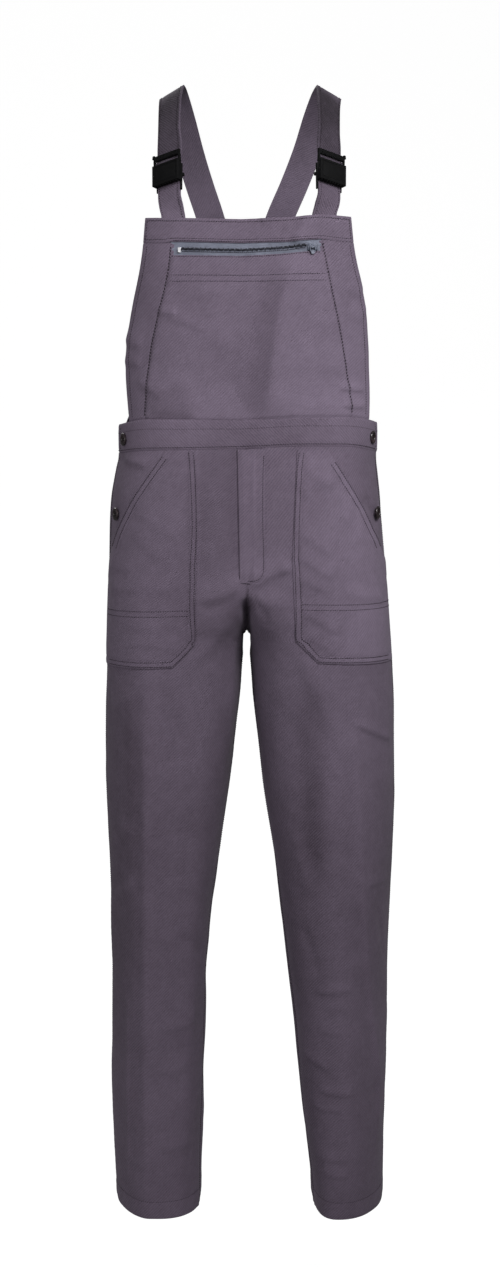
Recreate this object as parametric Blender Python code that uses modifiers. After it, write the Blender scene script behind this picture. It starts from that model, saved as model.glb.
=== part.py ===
"""Bib overalls, worn shape with no wearer: hollow trousers, bib, back yoke, straps and fittings.

Metres, +Z up, the garment faces -Y. The origin is midway between the two straps, on top of the
shoulders. Left and right are the wearer's: left is +X. Tables are in millimetres.
"""
import math
from collections import namedtuple

import bmesh
import bpy
import numpy as np
from mathutils import Matrix, Vector

MM = 0.001

# driving sizes, mm
CLOTH = 1.4               # wall of one layer of cloth with its turnings
GAP = 0.3                 # space between pieces that are sewn or laid together
HALF_SEAM = 0.2           # each panel stops this far from its seam line
CENTRE_X = -3.0           # the centre seam
CROTCH_Z = -711.0
FRONT_FORK_Z = -633.0     # the front seam turns under between the legs from here down
BACK_FORK_Z = -596.0
ROUNDNESS = 2.3           # power of the rounded sections; 2 is an ellipse
INNER_COLUMNS = 5         # quads across a leg panel, from its inner edge to the middle of the leg
OUTER_COLUMNS = 6         # and from there to the side seam
ARC_POINTS = 28           # fine points to a quarter of a section

# One row for each section of the hollow form, from chest to hem. outer is the side, inner the leg's
# inner side, front and back are the places of the foremost and rearmost points.
Ring = namedtuple("Ring", "z outer inner front_x front_y back_x back_y")

LEFT_RINGS = [
    Ring(-165, 172, -3, 55, -110, 50, 106),
    Ring(-300, 174, -3, 55, -113, 50, 104),
    Ring(-425, 170, -3, 50, -113, 50, 106),
    Ring(-465, 169, -3, 52, -115, 56, 110),
    Ring(-490, 170, -3, 56, -117, 62, 115),
    Ring(-520, 174, -3, 62, -119, 70, 121),
    Ring(-560, 178, -3, 70, -120, 78, 127),
    Ring(-600, 182, -3, 80, -120, 84, 129),
    Ring(-633, 184, -3, 86, -119, 88, 128),
    Ring(-660, 186, -3, 90, -118, 90, 126),
    Ring(-685, 188, -3, 94, -116, 92, 123),
    Ring(-702, 189, -3, 96, -115, 93, 121),
    Ring(-711, 190, -3, 97, -115, 94, 120),
    Ring(-740, 192, 2, 100, -113, 97, 116),
    Ring(-790, 195, 5, 105, -110, 101, 110),
    Ring(-850, 196, 12, 110, -107, 106, 104),
    Ring(-920, 198, 19, 114, -104, 111, 98),
    Ring(-1000, 196, 32, 120, -101, 117, 94),
    Ring(-1080, 193, 43, 125, -99, 121, 94),
    Ring(-1160, 190, 52, 128, -97, 124, 95),
    Ring(-1240, 190, 62, 130, -96, 127, 95),
    Ring(-1320, 189, 69, 128, -96, 129, 95),
    Ring(-1400, 187, 78, 126, -97, 131, 95),
    Ring(-1460, 187, 86, 124, -98, 134, 95),
    Ring(-1500, 187, 88, 123, -98, 136, 95),
]
RIGHT_RINGS = [
    Ring(-165, -172, -3, -55, -110, -50, 106),
    Ring(-300, -174, -3, -55, -113, -50, 104),
    Ring(-425, -172, -3, -50, -113, -50, 106),
    Ring(-465, -173, -3, -52, -115, -56, 110),
    Ring(-490, -178, -3, -56, -117, -62, 115),
    Ring(-520, -184, -3, -62, -119, -70, 121),
    Ring(-560, -185, -3, -70, -120, -78, 127),
    Ring(-600, -186, -3, -82, -120, -84, 129),
    Ring(-633, -188, -3, -92, -119, -88, 128),
    Ring(-660, -189, -3, -100, -118, -90, 126),
    Ring(-685, -190, -3, -107, -116, -94, 123),
    Ring(-702, -190, -3, -110, -115, -97, 121),
    Ring(-711, -191, -3, -112, -115, -98, 120),
    Ring(-740, -191, -9, -116, -113, -102, 116),
    Ring(-790, -193, -13, -120, -110, -106, 110),
    Ring(-850, -194, -19, -122, -106, -110, 104),
    Ring(-920, -194, -28, -124, -103, -114, 98),
    Ring(-1000, -191, -38, -126, -100, -117, 94),
    Ring(-1080, -189, -51, -127, -98, -120, 93),
    Ring(-1160, -188, -58, -127, -96, -123, 93),
    Ring(-1240, -189, -60, -127, -95, -125, 93),
    Ring(-1320, -190, -62, -127, -95, -126, 93),
    Ring(-1400, -189, -65, -126, -95, -126, 93),
    Ring(-1460, -186, -66, -125, -95, -126, 93),
    Ring(-1500, -185, -66, -124, -95, -125, 93),
]
RINGS = {"left": LEFT_RINGS, "right": RIGHT_RINGS}
TROUSER_ROWS = [ring.z for ring in LEFT_RINGS if ring.z <= -465]

# where the side seam and the inseam run on that form
SeamPlace = namedtuple("SeamPlace", "z side_y inseam_y")
SEAMS = [
    SeamPlace(-425, -38, 0),
    SeamPlace(-600, -34, 0),
    SeamPlace(-711, -26, 0),
    SeamPlace(-850, -16, -14),
    SeamPlace(-1000, -8, -28),
    SeamPlace(-1500, 0, -42),
]

# the waistband's top and bottom lines, which drop towards the side openings
WaistLine = namedtuple("WaistLine", "x top bottom")
WAIST_LINES = [
    WaistLine(-174, -433, -471),
    WaistLine(-155, -427, -467),
    WaistLine(-134, -424, -465),
    WaistLine(-5, -425, -462),
    WaistLine(59, -420.5, -459),
    WaistLine(130, -420.5, -459.5),
    WaistLine(156, -424, -464),
    WaistLine(171, -430, -470),
]
WAIST_GAP = 0.8           # under the waistband, whose edge bends more sharply than the panels'
WAISTBAND_PROUD = 0.8     # the band stands this far out of the panels beside it
WAISTBAND_WALL = 2.0
UNDERLAP = 34.0           # the back band goes on this far under the end of the front band
UNDERLAP_SINK = 2.6
UNDERLAP_FADE = 14.0      # behind the side seam, where the back band comes up again
WAISTBAND_STEP = 9.0      # spacing of the band's columns along the waist

# the bib: its inner seams and outer edges at each height
BibRow = namedtuple("BibRow", "z right_edge right_seam left_seam left_edge")
BIB_ROWS = [
    BibRow(-170, -132, -96, 90, 130),
    BibRow(-202, -135, -98.5, 92, 133.5),
    BibRow(-218, -137, -100, 95.5, 136.5),
    BibRow(-236, -140, -102, 99, 140.5),
    BibRow(-260, -145.5, -107, 103.5, 145),
    BibRow(-291, -152.5, -114.5, 110.5, 150.5),
    BibRow(-331, -158.5, -124, 118, 153.5),
    BibRow(-365, -160, -128.5, 124, 155),
    BibRow(-395, -159.5, -132, 128.5, 156),
    BibRow(-425, -158, -135.5, 132, 156),
]
CENTRE_COLUMNS = 14
SIDE_COLUMNS = 4
BIB_TOP = -170.0
BAND_SEAM = -202.0        # lower edge of the top band and upper edge of the zip
POCKET_TOP = -218.0       # upper edge of the centre panel, under the zip
BIB_BOTTOM = -425.0
# the top of the bib isn't straight: it sags in the middle and lifts under the left strap
BibWave = namedtuple("BibWave", "x lift")
BIB_WAVE = [
    BibWave(-133, 0),
    BibWave(-99, -1.5),
    BibWave(-10, -3.5),
    BibWave(50, -1),
    BibWave(92, 3),
    BibWave(133, 1),
]
BIB_WAVE_ENDS_Z = -270.0
LOW_BIB_Z = -365.0        # from here down the bib follows the waistband

# the zip
TAPE_TOP = -198.0
TAPE_MIDDLE = -210.0
TAPE_BOTTOM = -222.0
TAPE_WALL = 1.0
TAPE_OVERLAP = 3.0        # the tape runs on behind the side panels
COIL_RADIUS = 1.4
COIL_START_X = -85.0
COIL_END_X = 73.0
SLIDER_X = 80.0
SLIDER_SIZE = (12.6, 4.6, 9.0)      # along the zip, out from it and across it
SLIDER_ROUNDING = 1.2
LUG_SIZE = (4.4, 3.3, 3.0)
LUG_SUNK = 1.0            # how far it reaches into the slider
LUG_ROUNDING = 0.7
AXLE_RADIUS = 0.7
AXLE_HOLE_RADIUS = 0.95
AXLE_STANDOFF = 1.6       # the pull's axle above the slider's face
AXLE_SHORTER = 0.8        # than the pull is wide
PULL_LENGTH = 8.4
PULL_WIDTH = 7.6
PULL_TIP = 4.4
PULL_CORNER = 1.0
PULL_THICKNESS = 1.2
PULL_SIDE_GAP = 0.5       # between the lug and each arm
PULL_ARM_END = 1.3        # the arms go on this far above the axle
PULL_WINDOW_END = 4.0
STOP_SIZE = (4.0, 2.0, 6.4)
STOP_X = -88.0
STOP_ROUNDING = 0.5

# the fly: a flap over the centre seam, open along its right edge
FLY_RIGHT_X = -15.0
FLY_LEFT_X = 19.0
FLY_BOTTOM_Z = -632.0
FLY_CORNER = 16.0

# straps: both centre lines, mm, and how the ribbon is turned (outer edge back) and tilted
# (outer edge down), in degrees
STRAP_WIDTH = 40.0
STRAP_WALL = 3.0
STRAP_COLUMNS = 4
STRAP_DRAWN_IN = 0.98     # of its width, where it is sewn behind the bib
StrapRow = namedtuple("StrapRow", "x_right x_left y z turn tilt")
SHOULDER_ROWS = [
    StrapRow(-101, 102, -62, -52, 33, 12),
    StrapRow(-101, 103.5, -41, -24, 28, 19),
    StrapRow(-101, 104.5, -19, -7, 20, 24),
    StrapRow(-100.5, 104.5, 5, -1.5, 12, 27),
    StrapRow(-98, 100, 30, -8, 4, 27),
    StrapRow(-91, 91, 55, -31, -5, 24),
    StrapRow(-81, 79, 78, -68, -10, 20),
    StrapRow(-68, 62, 95, -110, -11, 18),
    StrapRow(-53.5, 43, 105, -153, -9, 17),
    StrapRow(-41, 29, 109, -197, -6, 16),
]
BIB_STRAP_X = {"right": -96.0, "left": 97.0}
YOKE_STRAP = {"right": ((-32.0, -236.0), (-29.5, -260.0)), "left": ((20.0, -236.0), (17.5, -260.0))}
STRAP_BEHIND_BIB = (-196.0, -182.0, -168.5)
TAB_ROWS = (-31.0, -9.0)            # along the strap from the buckle's middle
STRAP_LOW_ROWS = (2.0, 20.0, 38.0)

# the back yoke: how far it reaches round from the centre back at each height
YokeRow = namedtuple("YokeRow", "z reach")
YOKE_ROWS = [
    YokeRow(-233, 60),
    YokeRow(-262, 64),
    YokeRow(-300, 80),
    YokeRow(-340, 104),
    YokeRow(-380, 135),
    YokeRow(-408, 165),
    YokeRow(-425, 196),
]
YOKE_COLUMNS = 12

# buckles: places and sizes in the buckle's own frame, across, along the strap and outwards
BUCKLE_PLACE = {"right": Vector((-99.0, -86.0, -108.0)), "left": Vector((99.0, -86.0, -108.0))}
BUCKLE_TURN = 35.0
BUCKLE_TILT = 9.0
BUCKLE_LEAN = 17.0
BUCKLE_WIDTH = 48.0
BODY_WIDTH = 46.0
BODY_ROUNDING = 1.2
BODY_TOP = 9.0
BODY_BOTTOM = -16.0
BODY_BACK = 1.9
BODY_FRONT = 9.9
MOUTH = (39.0, 5.0, 21.0)           # wide, thick and deep, open upwards
WINDOW = (5.2, 9.0)                 # side window: deep into the wall, long
WINDOW_CENTRE = -4.0
FRAME_BOTTOM = -27.0
RAIL = 3.9
RAIL_STEP = 3.0           # the rails' front, behind the body's
RAIL_OVERLAP = 6.0        # how far they reach into the body
RAIL_ROUNDING = 0.6
BAR_BACK = -5.0
BAR_HEIGHT = 4.0
BAR_WIDTH = 47.0
CUT_PAST = 1.0            # how far a cutter starts outside what it cuts
LADDER_TOP = 25.0
LADDER_BACK = 3.6
LADDER_FRONT = 7.4
LADDER_BAR = 9.4
LADDER_FOOT = 1.6         # the bar between the slot and the socket
PRONG = 4.6
PRONG_END = -8.0

# buttons
BUTTON_RADIUS = 8.5
BUTTON_PROFILE = [        # radius, height
    (0.0, 1.5),
    (4.6, 1.5),
    (5.4, 2.6),
    (6.6, 3.2),
    (7.8, 2.9),
    (BUTTON_RADIUS, 1.9),
    (7.9, 0.5),
    (6.6, 0.0),
    (0.0, 0.0),
]
BUTTON_HOLE = 1.0
BUTTON_HOLE_PLACE = 1.9
BUTTON_OFF_PANEL = 0.5
ButtonPlace = namedtuple("ButtonPlace", "name side y z proud")
BUTTONS = [
    ButtonPlace("button_waist_right", "right", -56, -451, WAISTBAND_PROUD),
    ButtonPlace("button_waist_left", "left", -54, -448, WAISTBAND_PROUD),
    ButtonPlace("button_side_right", "right", -62, -548, BUTTON_OFF_PANEL),
    ButtonPlace("button_side_left", "left", -59, -546, BUTTON_OFF_PANEL),
]

# patch pockets: each cut is a straight line through two points, across and up, and what lies
# on its far side from the pocket's middle goes
PocketCut = namedtuple("PocketCut", "x1 z1 x2 z2")
POCKETS = {
    "right": {
        "middle": (-140, -640),
        "cuts": [
            PocketCut(-69, -466, -67.5, -616),
            PocketCut(-67.5, -616, -71, -716),
            PocketCut(-71, -716, -98.5, -744.5),
            PocketCut(-98.5, -744.5, -187, -748),
            PocketCut(-109, -466, -152, -528),
            PocketCut(-152, -528, -172, -568),
            PocketCut(-172, -568, -182, -596),
        ],
    },
    "left": {
        "middle": (130, -640),
        "cuts": [
            PocketCut(61.5, -460, 55.5, -601),
            PocketCut(55.5, -601, 60.5, -710),
            PocketCut(60.5, -710, 89.5, -738),
            PocketCut(89.5, -738, 188, -743.5),
            PocketCut(100, -460, 148.5, -537),
            PocketCut(148.5, -537, 162.5, -567.5),
            PocketCut(162.5, -567.5, 176, -596),
        ],
    },
}


def clear_scene():
    for old in list(bpy.data.objects):
        bpy.data.objects.remove(old, do_unlink=True)


def new_collection(name):
    collection = bpy.data.collections.new(name)
    bpy.context.scene.collection.children.link(collection)
    return collection


def new_material(name, colour, roughness, metallic=0.0):
    material = bpy.data.materials.new(name)
    material.use_nodes = True
    shader = material.node_tree.nodes["Principled BSDF"]
    shader.inputs["Base Color"].default_value = (*colour, 1.0)
    shader.inputs["Roughness"].default_value = roughness
    shader.inputs["Metallic"].default_value = metallic
    material.diffuse_color = (*colour, 1.0)
    return material


# ---- the hollow form -------------------------------------------------------------------------

def ring_at(side, z):
    """The form's section at height z, read straight between the rows of the table."""
    rings = RINGS[side]
    heights = [-ring.z for ring in rings]
    values = [np.interp(-z, heights, [ring[column] for ring in rings]) for column in range(1, 7)]
    return Ring(z, *values)


def seam_at(z):
    heights = [-row.z for row in SEAMS]
    side_y = np.interp(-z, heights, [row.side_y for row in SEAMS])
    inseam_y = np.interp(-z, heights, [row.inseam_y for row in SEAMS])
    return side_y, inseam_y


def quarter(start, end, starts_at_side):
    """A rounded quarter from start to end; it leaves a side running along Y, and a front along X."""
    angles = np.linspace(0.0, math.pi / 2, ARC_POINTS)
    slow = np.cos(angles).clip(0.0) ** (2 / ROUNDNESS)
    fast = np.sin(angles) ** (2 / ROUNDNESS)
    dx = end[0] - start[0]
    dy = end[1] - start[1]
    if starts_at_side:
        return np.column_stack((end[0] - dx * slow, start[1] + dy * fast))
    return np.column_stack((start[0] + dx * fast, end[1] - dy * slow))


def centre_seam_y(z, deep_y, fork_z):
    """Where the centre seam lies: on the surface above the fork, then round and under to the crotch."""
    if z >= fork_z:
        return deep_y
    part = min(1.0, (fork_z - z) / (fork_z - CROTCH_Z))
    return deep_y * math.sqrt(1.0 - part * part)


def front_line(side, z):
    """The section's front half, from its inner end out to the side."""
    ring = ring_at(side, z)
    inward = CENTRE_X + math.copysign(HALF_SEAM, ring.outer)
    if z < CROTCH_Z:
        inner = (ring.inner, 0.0)
    else:
        inner = (inward, min(-HALF_SEAM, centre_seam_y(z, ring.front_y, FRONT_FORK_Z)))
    foremost = (ring.front_x, ring.front_y)
    to_front = quarter(inner, foremost, True)
    to_side = quarter(foremost, (ring.outer, 0.0), False)
    return np.vstack((to_front, to_side[1:]))


def back_line(side, z):
    """The section's back half, from the side round to its inner end."""
    ring = ring_at(side, z)
    inward = CENTRE_X + math.copysign(HALF_SEAM, ring.outer)
    if z < CROTCH_Z:
        inner = (ring.inner, 0.0)
    else:
        inner = (inward, max(HALF_SEAM, centre_seam_y(z, ring.back_y, BACK_FORK_Z)))
    rearmost = (ring.back_x, ring.back_y)
    to_back = quarter((ring.outer, 0.0), rearmost, True)
    to_inner = quarter(rearmost, inner, False)
    return np.vstack((to_back, to_inner[1:]))


def lengths_along(line):
    steps = np.hypot(*np.diff(line, axis=0).T)
    return np.concatenate(([0.0], np.cumsum(steps)))


def point_along(line, distance):
    along = lengths_along(line)
    return np.array((np.interp(distance, along, line[:, 0]), np.interp(distance, along, line[:, 1])))


def piece_of_line(line, start, end):
    """The stretch of a line between two distances along it."""
    along = lengths_along(line)
    inside = line[(along > start) & (along < end)]
    return np.vstack((point_along(line, start), inside, point_along(line, end)))


def split_at_y(line, y, first_index, last_index):
    """The distance along the line where it crosses y, between two of its points."""
    along = lengths_along(line)
    ys = line[first_index:last_index, 1]
    order = np.argsort(ys)
    return float(np.interp(y, ys[order], along[first_index:last_index][order]))


def evenly(line, count):
    along = lengths_along(line)
    return [point_along(line, distance) for distance in np.linspace(0.0, along[-1], count + 1)]


def front_points(side, z):
    """The front panel's columns on the section, from inseam or centre seam out to the side seam."""
    line = front_line(side, z)
    side_y, inseam_y = seam_at(z)
    end = split_at_y(line, side_y, ARC_POINTS, len(line)) - HALF_SEAM
    start = 0.0
    if z < CROTCH_Z:
        start = split_at_y(line, inseam_y, 0, ARC_POINTS) + HALF_SEAM
    foremost = lengths_along(line)[ARC_POINTS - 1]
    inner = evenly(piece_of_line(line, start, foremost), INNER_COLUMNS)
    outer = evenly(piece_of_line(line, foremost, end), OUTER_COLUMNS)
    return inner + outer[1:]


def back_points(side, z):
    """The back panel's columns: from the side seam round the back to the centre seam or inseam."""
    front = front_line(side, z)
    back = back_line(side, z)
    side_y, inseam_y = seam_at(z)
    side_cut = split_at_y(front, side_y, ARC_POINTS, len(front)) + HALF_SEAM
    outer = np.vstack((piece_of_line(front, side_cut, lengths_along(front)[-1]), back[1:ARC_POINTS]))
    inner = back[ARC_POINTS - 1:]
    if z < CROTCH_Z and inseam_y < -HALF_SEAM:
        inseam_cut = split_at_y(front, inseam_y, 0, ARC_POINTS) - HALF_SEAM
        inner = np.vstack((inner, piece_of_line(front, 0.0, inseam_cut)[1:]))
    return evenly(outer, OUTER_COLUMNS) + evenly(inner, INNER_COLUMNS)[1:]


def waist_line(x, edge):
    xs = [line.x for line in WAIST_LINES]
    return float(np.interp(x, xs, [getattr(line, edge) for line in WAIST_LINES]))


def front_y_at(x, z):
    """Y of the form's front at a place across it."""
    line = front_line("left" if x > CENTRE_X else "right", z)
    order = np.argsort(line[:, 0])
    return float(np.interp(x, line[order, 0], line[order, 1]))


def front_normal_at(x, z):
    step = 1.0
    slope = (front_y_at(x + step, z) - front_y_at(x - step, z)) / (2 * step)
    return Vector((slope, -1.0, 0.0)).normalized()


def back_y_at(x, z):
    line = back_line("left" if x > CENTRE_X else "right", z)
    order = np.argsort(line[:, 0])
    return float(np.interp(x, line[order, 0], line[order, 1]))


# ---- making solids ---------------------------------------------------------------------------

def place_in(collection, obj, material=None):
    collection.objects.link(obj)
    if material is not None:
        obj.data.materials.append(material)
    return obj


def grid_mesh(rows, core_x):
    """An open sheet through rows of points (mm), its faces turned away from the form's core.

    It's in triangles, so that a piece laid on another one has the same flats and lies true on it.
    """
    sheet = bmesh.new()
    verts = [[sheet.verts.new(Vector(point) * MM) for point in row] for row in rows]
    for upper, lower in zip(verts, verts[1:]):
        for column in range(len(upper) - 1):
            sheet.faces.new((upper[column], lower[column], lower[column + 1]))
            sheet.faces.new((upper[column], lower[column + 1], upper[column + 1]))
    sheet.normal_update()
    outwardness = 0.0
    for face in sheet.faces:
        middle = face.calc_center_median()
        core = Vector((core_x * MM, 0.0, middle.z))
        outwardness += face.normal.dot(middle - core) * face.calc_area()
    if outwardness < 0.0:
        bmesh.ops.reverse_faces(sheet, faces=sheet.faces)
    return sheet


def cut_sheet(sheet, cuts, middle):
    """Cut a sheet with planes that run straight back, and keep the part around the middle."""
    for cut in cuts:
        start = Vector((cut.x1, 0.0, cut.z1)) * MM
        along = Vector((cut.x2 - cut.x1, 0.0, cut.z2 - cut.z1))
        normal = along.cross(Vector((0.0, 1.0, 0.0))).normalized()
        if (Vector((middle[0], 0.0, middle[1])) * MM - start).dot(normal) > 0.0:
            normal.negate()
        geometry = sheet.verts[:] + sheet.edges[:] + sheet.faces[:]
        bmesh.ops.bisect_plane(sheet, geom=geometry, plane_co=start, plane_no=normal, clear_outer=True)


def cloth_object(collection, name, sheet, material, wall=CLOTH, proud=0.0):
    """Give a sheet its wall. Its outer face lies proud of the sheet by that many millimetres."""
    sheet.normal_update()
    moves = [vertex.normal * proud * MM for vertex in sheet.verts]
    for vertex, move in zip(sheet.verts, moves):
        vertex.co += move
    mesh = bpy.data.meshes.new(name)
    sheet.to_mesh(mesh)
    sheet.free()
    obj = place_in(collection, bpy.data.objects.new(name, mesh), material)
    solidify = obj.modifiers.new("wall", "SOLIDIFY")
    solidify.thickness = wall * MM
    solidify.offset = -1.0
    solidify.use_even_offset = False
    return obj


def core_of(side, z):
    ring = ring_at(side, z)
    return (ring.outer + ring.inner) / 2


def solid_from_curve(collection, name, curve, material):
    """Turn a curve into a closed mesh of its own."""
    shape = bpy.data.objects.new(name, curve)
    bpy.context.scene.collection.objects.link(shape)
    graph = bpy.context.evaluated_depsgraph_get()
    mesh = bpy.data.meshes.new_from_object(shape.evaluated_get(graph))
    bpy.data.objects.remove(shape, do_unlink=True)
    weld = bmesh.new()
    weld.from_mesh(mesh)
    bmesh.ops.remove_doubles(weld, verts=weld.verts, dist=0.00001)
    bmesh.ops.recalc_face_normals(weld, faces=weld.faces)
    weld.to_mesh(mesh)
    weld.free()
    mesh.materials.clear()
    return place_in(collection, bpy.data.objects.new(name, mesh), material)


def flat_outline(collection, name, rings, depth, material):
    """A flat plate from closed outlines (mm); the first is the edge and the rest are holes."""
    curve = bpy.data.curves.new(name, "CURVE")
    curve.dimensions = "2D"
    curve.fill_mode = "BOTH"
    curve.extrude = depth / 2 * MM
    for ring in rings:
        spline = curve.splines.new("POLY")
        spline.points.add(len(ring) - 1)
        for point, (x, y) in zip(spline.points, ring):
            point.co = (x * MM, y * MM, 0.0, 1.0)
        spline.use_cyclic_u = True
    return solid_from_curve(collection, name, curve, material)


def block(collection, name, size, centre, material=None, bevel=0.0):
    """A box of a size (mm) around a centre in its parent's frame."""
    mesh = bpy.data.meshes.new(name)
    box = bmesh.new()
    bmesh.ops.create_cube(box, size=1.0)
    bmesh.ops.scale(box, vec=Vector(size) * MM, verts=box.verts)
    box.to_mesh(mesh)
    box.free()
    obj = place_in(collection, bpy.data.objects.new(name, mesh), material)
    obj.location = Vector(centre) * MM
    if bevel:
        rounding = obj.modifiers.new("rounding", "BEVEL")
        rounding.width = bevel * MM
        rounding.segments = 2
        rounding.limit_method = "ANGLE"
    return obj


def as_cutter(obj):
    obj.hide_render = True
    obj.display_type = "WIRE"
    return obj


def boolean(obj, operation, other):
    step = obj.modifiers.new(operation.lower(), "BOOLEAN")
    step.operation = operation
    step.object = as_cutter(other)
    step.solver = "EXACT"


def rod(collection, name, radius, length, centre, material=None, sides=20):
    """A round bar along its parent's Z, around a centre (mm)."""
    mesh = bpy.data.meshes.new(name)
    bar = bmesh.new()
    bmesh.ops.create_cone(bar, cap_ends=True, segments=sides, radius1=radius * MM, radius2=radius * MM,
                          depth=length * MM)
    bar.to_mesh(mesh)
    bar.free()
    obj = place_in(collection, bpy.data.objects.new(name, mesh), material)
    obj.location = Vector(centre) * MM
    return obj


# ---- trousers --------------------------------------------------------------------------------

def trouser_rows(side, points_at):
    rows = []
    for z in TROUSER_ROWS:
        points = points_at(side, z)
        heights = [z] * len(points)
        if z == TROUSER_ROWS[0]:
            heights = [waist_line(point[0], "bottom") - WAIST_GAP for point in points]
        rows.append([(point[0], point[1], height) for point, height in zip(points, heights)])
    return rows


def make_trousers(collection, cloth):
    for side in ("left", "right"):
        core_x = core_of(side, -1000.0)
        for face, points_at in (("front", front_points), ("back", back_points)):
            sheet = grid_mesh(trouser_rows(side, points_at), core_x)
            cloth_object(collection, f"trouser_{face}_{side}", sheet, cloth)


def make_patch_pockets(collection, cloth):
    for side, pocket in POCKETS.items():
        sheet = grid_mesh(trouser_rows(side, front_points), core_of(side, -1000.0))
        cut_sheet(sheet, pocket["cuts"], pocket["middle"])
        cloth_object(collection, f"patch_pocket_{side}", sheet, cloth, proud=GAP + CLOTH)


def make_fly(collection, cloth):
    rows = []
    xs = np.linspace(FLY_RIGHT_X, FLY_LEFT_X, 5)
    heights = [z for z in TROUSER_ROWS if z > FLY_BOTTOM_Z] + [FLY_BOTTOM_Z]
    for z in heights:
        y = ring_at("left", z).front_y
        if z == heights[0]:
            rows.append([(x, y, waist_line(x, "bottom") - WAIST_GAP) for x in xs])
        else:
            rows.append([(x, y, z) for x in xs])
    sheet = grid_mesh(rows, 0.0)
    corner_x = FLY_LEFT_X - FLY_CORNER
    corner_z = FLY_BOTTOM_Z + FLY_CORNER
    turns = [math.radians(angle) for angle in (0, 30, 60, 90)]
    arc = [(corner_x + FLY_CORNER * math.cos(turn), corner_z - FLY_CORNER * math.sin(turn)) for turn in turns]
    cuts = [PocketCut(*start, *end) for start, end in zip(arc, arc[1:])]
    cut_sheet(sheet, cuts, (corner_x, corner_z))
    cloth_object(collection, "fly_flap", sheet, cloth, proud=GAP + CLOTH)


# ---- waistband -------------------------------------------------------------------------------

def waistband_sheet(points):
    """Three rows of points round the waist, following the band's top and bottom lines."""
    rows = []
    for share in (0.0, 0.5, 1.0):
        row = []
        for x, y in points:
            top = waist_line(x, "top")
            bottom = waist_line(x, "bottom")
            row.append((x, y, top + (bottom - top) * share))
        rows.append(row)
    return grid_mesh(rows, 0.0)


def spaced(line, spacing):
    return evenly(line, max(2, round(lengths_along(line)[-1] / spacing)))


def make_waistband(collection, cloth):
    waist_z = (WAIST_LINES[3].top + WAIST_LINES[3].bottom) / 2
    halves = {}
    for side in ("left", "right"):
        line = front_line(side, waist_z)
        side_y = seam_at(waist_z)[0]
        cut = split_at_y(line, side_y, ARC_POINTS, len(line))
        halves[side] = (line, cut)
    outline = []
    for side in ("right", "left"):
        line, cut = halves[side]
        stretch = spaced(piece_of_line(line, 0.0, cut), WAISTBAND_STEP)
        outline += stretch[::-1] if side == "right" else stretch[1:]
    sheet = waistband_sheet(outline)
    cloth_object(collection, "waistband_front", sheet, cloth, WAISTBAND_WALL, WAISTBAND_PROUD)

    outline = []
    for side in ("left", "right"):
        line, cut = halves[side]
        under = piece_of_line(line, cut - UNDERLAP, lengths_along(line)[-1])
        whole = np.vstack((under, back_line(side, waist_z)[1:]))
        stretch = spaced(whole, WAISTBAND_STEP)
        outline += stretch if side == "left" else stretch[::-1][1:]
    sheet = waistband_sheet(outline)
    sink_underlaps(sheet, seam_at(waist_z)[0])
    cloth_object(collection, "waistband_back", sheet, cloth, WAISTBAND_WALL, WAISTBAND_PROUD)


def sink_underlaps(sheet, side_y):
    """Move the ends of the back band inwards, so that they lie under the front band."""
    sheet.normal_update()
    moves = []
    for vertex in sheet.verts:
        behind = (vertex.co.y / MM - side_y) / UNDERLAP_FADE
        share = 1.0 - min(1.0, max(0.0, behind))
        moves.append(vertex.normal * -UNDERLAP_SINK * MM * share)
    for vertex, move in zip(sheet.verts, moves):
        vertex.co += move


# ---- bib and yoke ----------------------------------------------------------------------------

def bib_edge(z, column):
    heights = [-row.z for row in BIB_ROWS]
    return float(np.interp(-z, heights, [getattr(row, column) for row in BIB_ROWS]))


def bib_lift(x, z):
    """How far a point of the bib lies off its level line: the wave at the top, the waist below."""
    wave = float(np.interp(x, [row.x for row in BIB_WAVE], [row.lift for row in BIB_WAVE]))
    fade = min(1.0, max(0.0, (z - BIB_WAVE_ENDS_Z) / (BAND_SEAM - BIB_WAVE_ENDS_Z)))
    low = min(1.0, max(0.0, (LOW_BIB_Z - z) / (LOW_BIB_Z - BIB_BOTTOM)))
    return wave * fade + (waist_line(x, "top") + GAP - BIB_BOTTOM) * low


def bib_point(x, z, sunk=0.0):
    """A point of the bib's outer face, or that many millimetres behind it."""
    normal = front_normal_at(x, z)
    y = front_y_at(x, z)
    return (x - normal.x * sunk, y - normal.y * sunk, z + bib_lift(x, z))


def bib_xs(z, part, inset=HALF_SEAM):
    """Where the columns of one part of the bib stand at height z, from the wearer's right."""
    if part == "side_right":
        return np.linspace(bib_edge(z, "right_edge"), bib_edge(z, "right_seam") - inset, SIDE_COLUMNS + 1)
    if part == "side_left":
        return np.linspace(bib_edge(z, "left_seam") + inset, bib_edge(z, "left_edge"), SIDE_COLUMNS + 1)
    start = bib_edge(z, "right_seam") + inset
    return np.linspace(start, bib_edge(z, "left_seam") - inset, CENTRE_COLUMNS + 1)


def band_xs(z):
    """The top band's columns follow those of the panels below it."""
    right = bib_xs(z, "side_right", 0.0)
    centre = bib_xs(z, "centre", 0.0)
    left = bib_xs(z, "side_left", 0.0)
    return np.concatenate((right, centre[1:], left[1:]))


def bib_sheet(heights, columns_at, sunk=0.0):
    return grid_mesh([[bib_point(x, z, sunk) for x in columns_at(z)] for z in heights], 0.0)


def heights_between(top, bottom):
    return [top] + [row.z for row in BIB_ROWS if bottom < row.z < top] + [bottom]


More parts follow.
